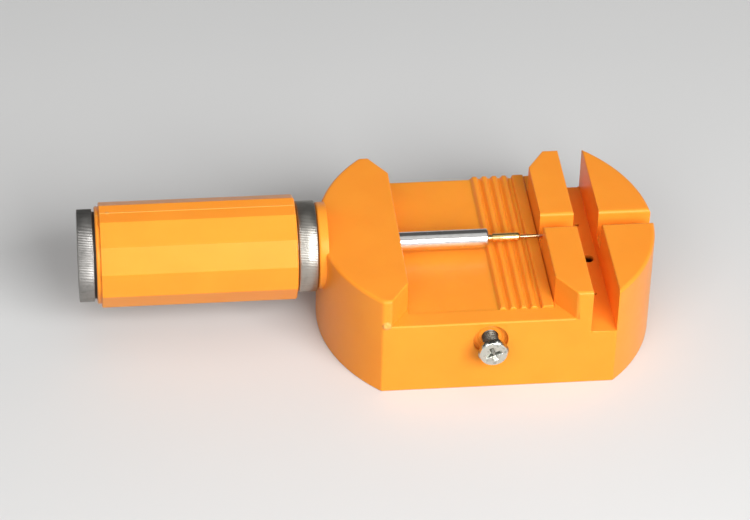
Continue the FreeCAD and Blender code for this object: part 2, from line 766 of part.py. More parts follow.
def make_front_ring():
    """The metal ring at the body end, with a spigot in the grip and a bore that clears the bush."""
    bore = "(Sizes.tube_radius + Sizes.ring_clearance)"
    spigot_end = f"({RING_REAR} - Sizes.ring_spigot)"
    body = new_body("front_ring")
    add_turned(body, "ring", [
        (spigot_end, bore),
        (RING_FACE, bore),
        (RING_FACE, "Sizes.ring_radius"),
        (RING_REAR, "Sizes.ring_radius"),
        (RING_REAR, "Sizes.sleeve_bore"),
        (spigot_end, "Sizes.sleeve_bore"),
    ])
    return lift_to_spindle(body)


def make_end_cap():
    """The metal cap at the far end: a bevelled rim and a hollow spigot in the grip."""
    spigot_end = f"({CAP_FACE} + Sizes.cap_spigot)"
    inner = "(Sizes.sleeve_bore - Sizes.running_gap - Sizes.cap_wall)"
    outer = "(Sizes.sleeve_bore - Sizes.running_gap)"
    bevel = "(Sizes.cap_radius - Sizes.cap_chamfer)"
    body = new_body("end_cap")
    add_turned(body, "cap", [
        (CAP_REAR, "0"),
        (CAP_FACE, "0"),
        (CAP_FACE, inner),
        (spigot_end, inner),
        (spigot_end, outer),
        (CAP_FACE, outer),
        (CAP_FACE, "Sizes.cap_radius"),
        (f"({CAP_REAR} + Sizes.cap_chamfer)", "Sizes.cap_radius"),
        (CAP_REAR, bevel),
    ])
    return lift_to_spindle(body)


def make_platform():
    """The ribbed bed: a plate with a skirt in the well, a shelf out to the back edge and webs beneath."""
    body = new_body("platform")
    skirt = add_sketch(body, "skirt", "XY_Plane", SKIRT_FOOT)
    add_outline(skirt, rectangle(PLATFORM_LEFT, f"-{SKIRT_HALF}", PLATFORM_RIGHT, SKIRT_HALF))
    add_pad(body, "skirt_block", skirt, f"{PLATFORM_TOP} - {SKIRT_FOOT}")

    wall = "Sizes.platform_skirt"
    hollow = add_sketch(body, "hollow", "XY_Plane", f"({SKIRT_FOOT} - 1)")
    inner_half = f"({SKIRT_HALF} - {wall})"
    add_outline(hollow, rectangle(
        f"({PLATFORM_LEFT} + {wall})", f"-{inner_half}", f"({PLATFORM_RIGHT} - {wall})", inner_half,
    ))
    depth = f"{PLATFORM_TOP} - Sizes.platform_plate - {SKIRT_FOOT} + 1"
    add_pocket(body, "hollow_cut", hollow, depth, backwards=True)

    shelf = add_sketch(body, "shelf", "XY_Plane", f"({PLATFORM_TOP} - Sizes.platform_plate)")
    add_outline(shelf, rectangle(PLATFORM_LEFT, f"({SKIRT_HALF} - 1)", PLATFORM_RIGHT, PLATFORM_BACK))
    add_pad(body, "shelf_plate", shelf, "Sizes.platform_plate")

    add_platform_webs(body)
    add_platform_ribs(body)
    return body


def add_platform_webs(body):
    """Stiffening webs across the underside of the plate."""
    low = f"({PLATFORM_TOP} - Sizes.platform_plate - Sizes.web_depth)"
    webs = add_sketch(body, "webs", "XY_Plane", low)
    for side in (-1, 1):
        middle = f"({side} * Sizes.web_spacing / 2)"
        near = f"({middle} - Sizes.web_width / 2)"
        far = f"({middle} + Sizes.web_width / 2)"
        left = f"({PLATFORM_LEFT} + 1)"
        right = f"({PLATFORM_RIGHT} - 1)"
        add_outline(webs, rectangle(left, near, right, far))
    add_pad(body, "web_walls", webs, "Sizes.web_depth + 0.5")


def add_platform_ribs(body):
    """Half round ribs along the bed, repeated by a pattern, and the wide flat rib beside the jaw bar."""
    front = f"-{SKIRT_HALF}"
    run = f"{PLATFORM_BACK} + {SKIRT_HALF}"
    root = f"({PLATFORM_TOP} - 0.3)"
    spring = f"({PLATFORM_TOP} + Sizes.rib_height - Sizes.stop_rib_round)"
    crown = f"({PLATFORM_TOP} + Sizes.rib_height)"
    wide = add_sketch(body, "stop_rib", "XZ_Plane", SKIRT_HALF)
    right = f"({PLATFORM_RIGHT} - Sizes.stop_rib_from_jaw + Sizes.platform_gap)"
    left = f"({right} - Sizes.stop_rib_width)"
    bend = "Sizes.stop_rib_round"
    cut = f"({bend} * (1 - sqrt(0.5)))"
    places = [
        (left, root),
        (right, root),
        (right, spring),
        (f"({right} - {bend})", crown),
        (f"({left} + {bend})", crown),
        (left, spring),
    ]
    arcs = {
        2: {"through": (f"({right} - {cut})", f"({crown} - {cut})"), "radius": bend},
        4: {"through": (f"({left} + {cut})", f"({crown} - {cut})"), "radius": bend},
    }
    add_outline(wide, places, arcs)
    add_pad(body, "stop_rib_bar", wide, run, backwards=True)

    half = "(Sizes.rib_width / 2)"
    middle = f"({BAY_RIGHT} - Sizes.rib_from_jaw)"
    low = f"({PLATFORM_TOP} + Sizes.rib_side)"
    rise = "(Sizes.rib_height - Sizes.rib_side)"
    bow = f"(({half} ^ 2 + {rise} ^ 2) / (2 * {rise}))"
    rib = add_sketch(body, "rib", "XZ_Plane", SKIRT_HALF)
    places = [
        (f"({middle} - {half})", root),
        (f"({middle} + {half})", root),
        (f"({middle} + {half})", low),
        (f"({middle} - {half})", low),
    ]
    add_outline(rib, places, {2: {"through": (middle, crown), "radius": bow}})
    bar = add_pad(body, "rib_bar", rib, run, backwards=True)
    pattern = body.newObject("PartDesign::LinearPattern", "platform_rib_pattern")
    pattern.Originals = [bar]
    pattern.Direction = (rib, ["H_Axis"])
    pattern.Mode = "Spacing"
    pattern.setExpression("Offset", "Sizes.rib_pitch")
    pattern.setExpression("Occurrences", "Sizes.rib_count")
    body.Tip = pattern
    doc.recompute()


def make_bottom_cover():
    """The flat cover of the well, with countersunk holes for its two screws."""
    body = new_body("bottom_cover")
    plate = add_sketch(body, "plate", "XY_Plane")
    add_outline(plate, rectangle(COVER_LEFT, f"-{COVER_HALF}", COVER_RIGHT, COVER_HALF))
    add_pad(body, "cover", plate, "Sizes.cover_thickness")
    for number, place in enumerate(cover_screw_places()):
        add_countersink(body, f"sink_{number}", place)
    return body


def screw_profile(place):
    """Half profile of a countersunk screw or its hole, with z up from the cover's face."""
    line = place[0]
    cone = "(Sizes.cover_screw_head - Sizes.cover_screw_radius)"
    return [
        (line, "0"),
        (f"({line} + Sizes.cover_screw_head)", "0"),
        (f"({line} + Sizes.cover_screw_radius)", cone),
        (f"({line} + Sizes.cover_screw_radius)", "Sizes.cover_screw_length"),
        (line, "Sizes.cover_screw_length"),
    ]


def add_countersink(body, name, place):
    """One countersunk hole through the cover."""
    sketch = add_sketch(body, name, "XZ_Plane", f"-({place[1]})")
    add_outline(sketch, screw_profile(place))
    before = body.Shape.Volume
    groove = body.newObject("PartDesign::Groove", f"bottom_cover_{name}_cut")
    groove.Profile = sketch
    groove.ReferenceAxis = (sketch, ["Edge5"])
    groove.Angle = 360
    sketch.Visibility = False
    doc.recompute()
    if not body.Shape.Volume < before - 1e-6:
        raise ValueError(f"{name} removes nothing")


def make_cover_screws():
    """The two countersunk cover screws, one group of separate solids."""
    shapes = []
    group = doc.addObject("Part::Compound", "cover_screw_group")
    group.Label = "cover_screws"
    for number, place in enumerate(cover_screw_places()):
        body = doc.addObject("PartDesign::Body", f"Body_cover_screw_{number}")
        body.Label = f"cover_screw_{number}"
        sketch = add_sketch(body, "profile", "XZ_Plane", f"-({place[1]})")
        add_outline(sketch, screw_profile(place))
        turned = body.newObject("PartDesign::Revolution", f"cover_screw_{number}_turned")
        turned.Profile = sketch
        turned.ReferenceAxis = (sketch, ["Edge5"])
        turned.Angle = 360
        sketch.Visibility = False
        shapes.append(body)
    group.Links = shapes
    doc.recompute()
    return group


def make_clamp_nut():
    """The six-sided nut in the pocket behind the front wall."""
    body = new_body("clamp_nut")
    plate = add_sketch(body, "plate", "XZ_Plane", f"-{NUT_SEAT}")
    add_outline(plate, hexagon("(Sizes.nut_across / 2)"))
    add_circle(plate, ("Sizes.clamp_place", "Sizes.clamp_height"), "Sizes.clamp_radius + Sizes.running_gap")
    thickness = "Sizes.rim_wall - Sizes.recess_sink - Sizes.recess_web - Sizes.nut_clear"
    add_pad(body, "nut", plate, thickness, backwards=True)
    return body


def make_clamp_pad():
    """The pad between the clamp screw's tip and the platform's skirt."""
    body = new_body("clamp_pad")
    disc = add_sketch(body, "disc", "XZ_Plane", f"-{PAD_FACE}")
    add_circle(disc, ("Sizes.clamp_place", "Sizes.clamp_height"), "Sizes.pad_radius")
    add_pad(body, "plug", disc, "Sizes.pad_length")
    return body


def make_clamp_screw():
    """The clamp screw: a shank to the pad and a round head with a cross recess."""
    body = new_body("clamp_screw")
    place = ("Sizes.clamp_place", "Sizes.clamp_height")
    shank = add_sketch(body, "shank", "XZ_Plane", f"-{HEAD_UNDER}")
    add_circle(shank, place, "Sizes.clamp_radius")
    add_pad(body, "shank_bar", shank, f"{PAD_REAR} - {HEAD_UNDER} - Sizes.pad_gap", backwards=True)
    head = add_sketch(body, "head", "XZ_Plane", f"-{HEAD_UNDER}")
    add_circle(head, place, "Sizes.head_radius")
    add_pad(body, "head_disc", head, "Sizes.head_height")
    recess = add_sketch(body, "recess", "XZ_Plane", f"-({HEAD_UNDER} - Sizes.head_height)")
    add_outline(recess, cross_outline())
    add_pocket(body, "recess_cut", recess, "Sizes.cross_depth")
    return body


def cross_outline():
    """The twelve corners of the cross recess."""
    near = "(Sizes.cross_width / 2)"
    far = "(Sizes.cross_length / 2)"
    corners = [
        (far, f"-{near}"), (far, near), (near, near), (near, far), (f"-{near}", far), (f"-{near}", near),
        (f"-{far}", near), (f"-{far}", f"-{near}"), (f"-{near}", f"-{near}"), (f"-{near}", f"-{far}"),
        (near, f"-{far}"), (near, f"-{near}"),
    ]
    return [(f"(Sizes.clamp_place + {x})", f"(Sizes.clamp_height + {z})") for x, z in corners]


def make_all():
    """Every sub-part, in the order in which the tool is put together."""
    washer_bore = "(Sizes.screw_radius + Sizes.washer_bore_gap)"
    cap_gasket_radius = "(Sizes.cap_radius - Sizes.gasket_step)"
    thrust_rear = f"({THRUST_FRONT} - Sizes.thrust_width)"
    stop_front = f"({HUB_FRONT} + Sizes.stop_washer_width)"
    return [
        make_base_body(),
        make_bottom_cover(),
        make_cover_screws(),
        make_thread_bush(),
        make_clamp_nut(),
        make_platform(),
        make_clamp_pad(),
        make_clamp_screw(),
        make_push_rod(),
        make_pin_holder(),
        make_push_pin(),
        make_ring("thrust_washer", thrust_rear, THRUST_FRONT, TAIL_BORE, "Sizes.thrust_radius"),
        make_retaining_clip(),
        make_drive_screw(),
        make_drive_hub(),
        make_hub_set_screw(),
        make_ring("stop_washer", HUB_FRONT, stop_front, washer_bore, "Sizes.bush_flange_radius"),
        make_front_ring(),
        make_handle_sleeve(),
        make_ring("cap_gasket", CAP_FACE, SEAT_REAR, "Sizes.sleeve_bore", cap_gasket_radius),
        make_end_cap(),
    ]


def check_and_write(pieces):
    """Stop at any failed object or broken shape, then write one STEP file for each piece."""
    for item in doc.Objects:
        if "Invalid" in item.State or "Error" in item.State:
            raise ValueError(f"{item.Name} is {item.State}")
    for piece in pieces:
        shape = piece.Shape
        if shape.isNull() or not shape.isValid() or not shape.Solids:
            raise ValueError(f"{piece.Label} has no valid solid")
    os.makedirs("parts", exist_ok=True)
    for piece in pieces:
        piece.Shape.exportStep(os.path.join("parts", piece.Label + ".step"))
        box = piece.Shape.BoundBox
        sides = ((box.XMin, box.XMax), (box.YMin, box.YMax), (box.ZMin, box.ZMax))
        spans = ", ".join(f"{low:.2f} to {high:.2f}" for low, high in sides)
        print(f"{piece.Label}: {len(piece.Shape.Solids)} solid, {piece.Shape.Volume:.1f} mm3, at {spans}")


fill_sheet()
sub_parts = make_all()
doc.recompute()
check_and_write(sub_parts)
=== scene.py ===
"""The dressed model of a watch link remover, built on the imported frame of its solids.

Sizes are millimetres in the part's own frame: +X runs along the spindle to the jaw bar, -Y is the front
with the clamp screw, and +Z is up. Meshes are made in that frame and scaled to metres, so each piece's
object stays at the origin.
"""

import json
import logging
from collections.abc import Callable, Sequence
from dataclasses import dataclass
from enum import Enum
from math import asin, atan, atan2, copysign, cos, dist, hypot, pi, radians, sin, tan

import bmesh
import bpy
from mathutils import Matrix, Vector

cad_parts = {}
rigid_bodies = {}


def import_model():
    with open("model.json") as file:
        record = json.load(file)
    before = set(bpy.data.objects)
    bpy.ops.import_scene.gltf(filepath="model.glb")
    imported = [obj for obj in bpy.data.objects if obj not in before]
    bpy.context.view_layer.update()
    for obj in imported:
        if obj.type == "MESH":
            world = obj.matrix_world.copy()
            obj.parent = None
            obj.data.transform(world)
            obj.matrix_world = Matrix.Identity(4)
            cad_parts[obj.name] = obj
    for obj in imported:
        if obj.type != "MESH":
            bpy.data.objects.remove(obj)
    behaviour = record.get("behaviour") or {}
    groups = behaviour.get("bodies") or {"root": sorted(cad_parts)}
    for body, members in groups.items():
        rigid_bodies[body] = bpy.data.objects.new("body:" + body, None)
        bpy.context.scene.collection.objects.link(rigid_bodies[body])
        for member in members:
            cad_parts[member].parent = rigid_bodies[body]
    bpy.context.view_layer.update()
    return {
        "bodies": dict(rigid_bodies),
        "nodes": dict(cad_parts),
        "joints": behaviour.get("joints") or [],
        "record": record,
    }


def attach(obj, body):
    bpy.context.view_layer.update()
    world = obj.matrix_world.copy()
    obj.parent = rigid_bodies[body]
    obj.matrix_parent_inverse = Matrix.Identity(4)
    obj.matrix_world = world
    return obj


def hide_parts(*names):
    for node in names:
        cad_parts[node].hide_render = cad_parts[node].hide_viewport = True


LOG = logging.getLogger("link_remover")
MM = 0.001
FULL_TURN = 2 * pi
ROUND_TURNS = (0, 0.4, 0.8, 1.2, pi / 2)
SHARP_COSINE = 0.9
Flat = tuple[float, float]
Spot = tuple[float, float, float]
Colour = tuple[float, float, float]
Test = Callable[[Vector, Vector], float]
Thing = bpy.types.Object
Socket = bpy.types.NodeSocket
Material = bpy.types.Material
Finishes = dict[str, Material]
SPINDLE: Flat = (0.0, 21.65)
COVER_SCREWS: tuple[Flat, Flat] = ((-23.43, -18.0), (15.9, 18.0))
GATE_NUB: Spot = (-26.18, -28.5, 19.16)
GRIP_GATE: Spot = (-88.4, 0.0, 33.6)
PIN_HOLES: tuple[Spot, ...] = ((24.75, -0.6, 1.4), (24.3, 12.9, 0.5), (24.3, -14.1, 0.5))
ORANGE: Colour = (0.98, 0.32, 0.03)
METAL = {"Metallic": 1.0}


class Axis(Enum):
    """The line that a turned piece or a prism runs along."""

    X = "x"
    Y = "y"
    Z = "z"

    def spot(self, along: float, across: float, up: float) -> Spot:
        """Give the point at a distance along this line, from its two distances across it."""
        return {Axis.X: (along, across, up), Axis.Y: (across, along, up), Axis.Z: (across, up, along)}[self]


class Join(Enum):
    """How a tool changes the piece that it meets."""

    ADD = "UNION"
    CUT = "DIFFERENCE"


def build(name: str, spots: Sequence[Spot], faces: Sequence[Sequence[int]]) -> Thing:
    """Make a mesh object from points in millimetres.

    Args:
        name: The object's name.
        spots: The points.
        faces: The point numbers of each face.

    Returns:
        The object, with its faces turned outwards.
    """
    mesh = bpy.data.meshes.new(name)
    mesh.from_pydata([Vector(spot) * MM for spot in spots], [], [tuple(face) for face in faces])
    obj = bpy.data.objects.new(name, mesh)
    bpy.context.scene.collection.objects.link(obj)
    at = [vertex.co for vertex in mesh.vertices]
    fans = [(poly.vertices, turn) for poly in mesh.polygons for turn in range(1, len(poly.vertices) - 1)]
    if sum(at[face[0]].dot(at[face[turn]].cross(at[face[turn + 1]])) for face, turn in fans) < 0:
        mesh.flip_normals()
    return obj


def loft(name: str, rings: Sequence[Sequence[Spot]], closed: bool = False) -> Thing:
    """Skin a solid over rings of equal length.

    Args:
        name: The object's name.
        rings: The rings, each a closed loop of points.
        closed: Whether the last ring joins the first, in place of flat ends.

    Returns:
        The closed solid.
    """
    count = len(rings[0])
    faces: list[Sequence[int]] = []
    for level in range(len(rings) if closed else len(rings) - 1):
        low, high = level * count, (level + 1) % len(rings) * count
        for step in range(count):
            after = (step + 1) % count
            faces.append((low + step, low + after, high + after, high + step))
    if not closed:
        faces.append(tuple(reversed(range(count))))
        faces.append(tuple(range((len(rings) - 1) * count, len(rings) * count)))
    return build(name, [spot for ring in rings for spot in ring], faces)


def turned(
    name: str,
    profile: Sequence[Flat],
    steps: int = 96,
    axis: Axis = Axis.X,
    centre: Flat = SPINDLE,
    closed: bool = False,
) -> Thing:
    """Turn a profile about a line.

    Args:
        name: The object's name.
        profile: Distances along the line and radii, in order.
        steps: The number of sides.
        axis: The direction of the line.
        centre: The line's two distances across.
        closed: Whether the profile is a loop, which leaves a bore.

    Returns:
        The turned solid.
    """
    turns = [FULL_TURN * step / steps for step in range(steps)]
    rings = [
        [axis.spot(along, centre[0] + radius * cos(a), centre[1] + radius * sin(a)) for a in turns]
        for along, radius in profile
    ]
    return loft(name, rings, closed)


def prism(name: str, outline: Sequence[Flat], low: float, high: float, axis: Axis) -> Thing:
    """Pull an outline along a line, from a low to a high distance."""
    return loft(name, [[axis.spot(level, a, b) for a, b in outline] for level in (low, high)])


def rounded(points: Sequence[Flat], radii: dict[int, float], loop: bool = True, steps: int = 5) -> list[Flat]:
    """Replace corners of an outline by arcs.

    Args:
        points: The outline's corners.
        radii: The radius for each corner's number.
        loop: Whether the outline is closed.
        steps: The sides of each arc.

    Returns:
        The points of the rounded outline.
    """
    out: list[Flat] = []
    for number, point in enumerate(points):
        radius = radii.get(number, 0)
        if not radius or (not loop and number in (0, len(points) - 1)):
            out.append(point)
            continue
        here = Vector(point)
        back = (Vector(points[number - 1]) - here).normalized()
        onward = (Vector(points[(number + 1) % len(points)]) - here).normalized()
        half = back.angle(onward) / 2
        centre = here + (back + onward).normalized() * radius / sin(half)
        start = here + back * radius / tan(half) - centre
        end = here + onward * radius / tan(half) - centre
        first = atan2(start.y, start.x)
        sweep = (atan2(end.y, end.x) - first + pi) % FULL_TURN - pi
        for step in range(steps + 1):
            turn = first + sweep * step / steps
            out.append((centre.x + radius * cos(turn), centre.y + radius * sin(turn)))
    return out


def spread(outline: Sequence[Flat], distance: float) -> list[Flat]:
    """Move the sides of an anticlockwise outline outwards by a distance."""
    out = []
    for number, point in enumerate(outline):
        here = Vector(point)
        into = (here - Vector(outline[number - 1])).normalized()
        onward = (Vector(outline[(number + 1) % len(outline)]) - here).normalized()
        first = Vector((into.y, -into.x))
        middle = (first + Vector((onward.y, -onward.x))).normalized()
        moved = here + middle * distance / max(middle.dot(first), 0.3)
        out.append((moved.x, moved.y))
    return out


def quarter(steps: int) -> list[float]:
    """Angles from 0 to a quarter turn, in equal steps."""
    return [pi / 2 * step / steps for step in range(steps + 1)]


def flare(radius: float, steps: int = 5) -> list[Flat]:
    """Offsets out from and up past the top of a wall, for a cutter that leaves the wall's top edge round."""
    curve = [(radius * (1 - cos(a)), radius * (sin(a) - 1)) for a in quarter(steps)[:-1]]
    out, up = curve[-1]
    return curve + [(radius + (radius - out) / -up * 0.05, 0.05)]


def box(name: str, low: Spot, high: Spot) -> Thing:
    """Make a block between two corners."""
    outline = [(low[0], low[1]), (high[0], low[1]), (high[0], high[1]), (low[0], high[1])]
    return prism(name, outline, low[2], high[2], Axis.Z)


def settle(obj: Thing) -> None:
    """Bake a piece's modifiers into its mesh and take them off."""
    bpy.context.view_layer.update()
    graph = bpy.context.evaluated_depsgraph_get()
    final = obj.evaluated_get(graph)
    mesh = bpy.data.meshes.new_from_object(final, preserve_all_data_layers=True, depsgraph=graph)
    old = obj.data
    obj.modifiers.clear()
    obj.data = mesh
    bpy.data.meshes.remove(old)
    mesh.name = obj.name


def modify(obj: Thing, kind: str, **settings: object) -> bpy.types.Modifier:
    """Put a modifier with its settings on a piece."""
    change = obj.modifiers.new(kind.lower(), kind)
    for name, setting in settings.items():
        setattr(change, name, setting)
    return change


def combine(piece: Thing, join: Join, *tools: Thing) -> Thing:
    """Add tools to a piece or cut them out of it, and use them up."""
    for tool in tools:
        modify(piece, "BOOLEAN", operation=join.value, solver="MANIFOLD", object=tool)
    settle(piece)
    for tool in tools:
        bpy.data.objects.remove(tool)
    return piece


def soften(obj: Thing, widths: Test, steps: int = 3) -> None:
    """Round the sharp edges that a test picks.

    Args:
        obj: The piece.
        widths: Gives the radius for an edge's two ends, in millimetres, or 0.
        steps: The sides of each round.
    """
    mesh = obj.data
    normals: dict[tuple[int, int], list[Vector]] = {}
    for poly in mesh.polygons:
        for key in poly.edge_keys:
            normals.setdefault(key, []).append(poly.normal.copy())
    wanted = []
    for edge in mesh.edges:
        sides = normals.get(edge.key, [])
        sharp = len(sides) == 2 and sides[0].dot(sides[1]) < SHARP_COSINE
        wanted.append(widths(*(mesh.vertices[number].co / MM for number in edge.vertices)) if sharp else 0.0)
    most = max(wanted, default=0.0)
    if most:
        weights = mesh.attributes.new("bevel_weight_edge", "FLOAT", "EDGE")
        weights.data.foreach_set("value", [width / most for width in wanted])
        modify(obj, "BEVEL", limit_method="WEIGHT", width=most * MM, segments=steps, use_clamp_overlap=False)
        settle(obj)


def place(obj: Thing, body: str, material: Material, slot: str, *nodes: str, angle: float = 28) -> None:
    """Shade a piece smoothly between its sharp edges, dress it and hang it on its body.

    Args:
        obj: The piece.
        body: The body that it moves with.
        material: Its finish.
        slot: The name of a material slot for the finish; it is not used.
        nodes: The solids that it stands for.
        angle: The least angle of an edge that stays sharp, in degrees.
    """
    mesh = obj.data
    mesh.polygons.foreach_set("use_smooth", [True] * len(mesh.polygons))
    mesh.set_sharp_from_angle(angle=radians(angle))
    modify(obj, "WEIGHTED_NORMAL", keep_sharp=True, weight=80)
    settle(obj)
    obj.data.materials.clear()
    obj.data.materials.append(material)
    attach(obj, body)
    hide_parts(*nodes)
    LOG.info("%s: %d faces, on %s", obj.name, len(obj.data.polygons), body)


def operator(operation: str, swapped: bool = False) -> "Callable[[Value, Value | float], Value]":
    """Make an operator of values that adds a Math node.

    Args:
        operation: The node's operation.
        swapped: Whether the other term comes first.

    Returns:
        The operator.
    """

    def work_out(value: "Value", other: "Value | float") -> "Value":
        """Feed both terms to a new node."""
        terms = (other, value) if swapped else (value, other)
        return value.result("ShaderNodeMath", *terms, operation=operation)

    return work_out


class Value:
    """A number in a node tree, which takes part in sums as Math nodes."""

    def __init__(self, tree: bpy.types.NodeTree, socket: Socket) -> None:
        """Wrap a socket of a tree."""
        self.tree = tree
        self.socket = socket

    def result(self, kind: str, *terms: "Value | float", **settings: str) -> "Value":
        """Feed terms to a new node and give its first output."""
        return Value(self.tree, Nodes(self.tree).link(kind, dict(enumerate(terms)), **settings))

    def math(self, operation: str, *others: "Value | float") -> "Value":
        """Work out a Math node's operation on this value and others."""
        return self.result("ShaderNodeMath", self, *others, operation=operation)

    __add__ = __radd__ = operator("ADD")
    __mul__ = __rmul__ = operator("MULTIPLY")
    __sub__, __rsub__ = operator("SUBTRACT"), operator("SUBTRACT", swapped=True)
    __truediv__, __pow__ = operator("DIVIDE"), operator("POWER")

    def within(self, low: float, high: float) -> "Value":
        """Give 1 between two bounds and 0 outside them."""
        return self.math("GREATER_THAN", low) * self.math("LESS_THAN", high)

    def above(self, low: "Value | float", high: "Value | float") -> "Value":
        """Rise smoothly from 0 at a low to 1 at a high value."""
        return self.result("ShaderNodeMapRange", self, low, high, interpolation_type="SMOOTHSTEP")


Feed = Value | Socket | float | int | tuple | bool


class Nodes:
    """Adds nodes to a tree."""

    def __init__(self, tree: bpy.types.NodeTree) -> None:
        """Work on a tree."""
        self.tree = tree

    def node(self, kind: str, inputs: dict | None = None, **settings: object) -> bpy.types.Node:
        """Add a node.

        Args:
            kind: The node's type.
            inputs: The constant or link of each input, by name or number.
            settings: The node's own settings, which are made first.

        Returns:
            The node.
        """
        node = self.tree.nodes.new(kind)
        for name, setting in settings.items():
            setattr(node, name, setting)
        for name, source in (inputs or {}).items():
            if isinstance(source, Value):
                source = source.socket
            if isinstance(source, Socket):
                self.tree.links.new(source, node.inputs[name])
            else:
                node.inputs[name].default_value = source
        return node

    def link(self, kind: str, inputs: dict | None = None, **settings: object) -> Socket:
        """Add a node and give its first output."""
        return self.node(kind, inputs, **settings).outputs[0]

    def value(self, socket: Socket) -> Value:
        """Take an output as a number."""
        return Value(self.tree, socket)

    def parts(self, vector: Socket) -> list[Value]:
        """Take the X, Y and Z parts of a vector."""
        return [self.value(part) for part in self.node("ShaderNodeSeparateXYZ", {0: vector}).outputs]


class Recipe(Nodes):
    """Builds the nodes of one finish."""

    def __init__(self, name: str) -> None:
        """Start an empty material."""
        self.material = bpy.data.materials.new(name)
        self.material.use_nodes = True
        super().__init__(self.material.node_tree)
        self.tree.nodes.clear()

    def spot(self, stretch: Spot = (1, 1, 1), shift: Spot = (0, 0, 0)) -> Socket:
        """Give the place on the piece in millimetres, shifted and then stretched along each direction."""
        spot = self.node("ShaderNodeTexCoord").outputs["Object"]
        start, scale = tuple(part * MM for part in shift), tuple(part / MM for part in stretch)
        for operation, change in (("SUBTRACT", start), ("MULTIPLY", scale)):
            spot = self.link("ShaderNodeVectorMath", {0: spot, 1: change}, operation=operation)
        return spot

    def near(self, middle: Spot, low: float, high: float, stretch: Spot = (1, 1, 1)) -> Value:
        """Give 1 up to a low distance from a place, and fall smoothly to 0 at a high one."""
        away = self.node("ShaderNodeVectorMath", {0: self.spot(stretch, middle)}, operation="LENGTH")
        return 1 - self.value(away.outputs["Value"]).above(low, high)

    def noise(self, vector: Socket, size: float, detail: float = 2, rough: float = 0.5) -> Value:
        """Make clouds of a size in millimetres, from 0 to 1."""
        inputs = {"Vector": vector, "Scale": 1 / size, "Detail": detail, "Roughness": rough}
        return self.value(self.link("ShaderNodeTexNoise", inputs))

    def dots(self, vector: Socket, pitch: float, radius: float) -> Value:
        """Scatter soft dots of a radius, about a pitch apart, as 1 on 0."""
        cells = self.node("ShaderNodeTexVoronoi", {"Vector": vector, "Scale": 1 / pitch})
        return 1 - self.value(cells.outputs["Distance"]).above(0.4 * radius / pitch, radius / pitch)

    def blend(self, share: Feed, first: Feed, second: Feed) -> Socket:
        """Mix two colours by a share."""
        low, high = ((*tone, 1.0) if isinstance(tone, tuple) else tone for tone in (first, second))
        inputs = {0: share, 6: low, 7: high}
        return self.node("ShaderNodeMix", inputs, data_type="RGBA", clamp_factor=True).outputs[2]

    def bump(self, height: Value, depth: float, below: Socket | None = None) -> Socket:
        """Tilt the surface by a height of 0 to 1 that stands for a depth in millimetres."""
        inputs: dict = {"Strength": 1.0, "Distance": depth * MM, "Height": height}
        if below is not None:
            inputs["Normal"] = below
        return self.link("ShaderNodeBump", inputs)

    def finish(self, tone: Feed, rough: Feed, more: dict[str, Feed]) -> Material:
        """Close the recipe with its shader.

        Args:
            tone: The colour.
            rough: The roughness.
            more: The shader's other inputs.

        Returns:
            The material.
        """
        shader = self.node("ShaderNodeBsdfPrincipled", {"Base Color": tone, "Roughness": rough, **more})
        self.node("ShaderNodeOutputMaterial", {"Surface": shader.outputs[0]})
        return self.material


class Rule(Nodes):
    """A Geometry Nodes tree in millimetres, with named sizes, that makes one shape."""

    def __init__(self, name: str) -> None:
        """Start a tree that takes and gives geometry."""
        super().__init__(bpy.data.node_groups.new(name, "GeometryNodeTree"))
        for way in ("INPUT", "OUTPUT"):
            self.tree.interface.new_socket("Geometry", in_out=way, socket_type="NodeSocketGeometry")
        self.entry = self.tree.nodes.new("NodeGroupInput")
        self.chosen: dict[str, float] = {}

    def sizes(self, **sizes: float) -> list[Value]:
        """Add an input for each named size, which is whole where the size is, and give them."""
        values = []
        for name, size in sizes.items():
            label = name.replace("_", " ").capitalize()
            kind = "NodeSocketInt" if isinstance(size, int) else "NodeSocketFloat"
            item = self.tree.interface.new_socket(label, in_out="INPUT", socket_type=kind)
            self.chosen[item.identifier] = size
            values.append(self.value(self.entry.outputs[label]))
        return values

    def here(self) -> list[Value]:
        """Take the X, Y and Z parts of each point's place."""
        return self.parts(self.link("GeometryNodeInputPosition"))

    def vector(self, x: Feed, y: Feed, z: Feed) -> Socket:
        """Join three numbers."""
        return self.link("ShaderNodeCombineXYZ", {0: x, 1: y, 2: z})

    def move(self, shape: Socket, x: Feed, y: Feed, z: Feed) -> Socket:
        """Move a shape's points to new places."""
        return self.link("GeometryNodeSetPosition", {"Geometry": shape, "Position": self.vector(x, y, z)})

    def make(self, name: str, geometry: Socket, material: Material) -> Thing:
        """Run the tree and keep its result as a plain mesh.

        Args:
            name: The object's name.
            geometry: The tree's last shape, in millimetres.
            material: The finish that the tree gives it.

        Returns:
            The object.
        """
        scaled = self.link("GeometryNodeTransform", {"Geometry": geometry, "Scale": (MM, MM, MM)})
        real = self.link("GeometryNodeRealizeInstances", {"Geometry": scaled})
        dressed = self.link("GeometryNodeSetMaterial", {"Geometry": real, "Material": material})
        self.node("NodeGroupOutput", {0: dressed})
        obj = build(name, [], [])
        change = modify(obj, "NODES", node_group=self.tree)
        for identifier, value in self.chosen.items():
            change[identifier] = value
        settle(obj)
        shape = bmesh.new()
        shape.from_mesh(obj.data)
        bmesh.ops.remove_doubles(shape, verts=shape.verts, dist=0.002 * MM)
        bmesh.ops.recalc_face_normals(shape, faces=shape.faces)
        shape.to_mesh(obj.data)
        shape.free()
        return obj


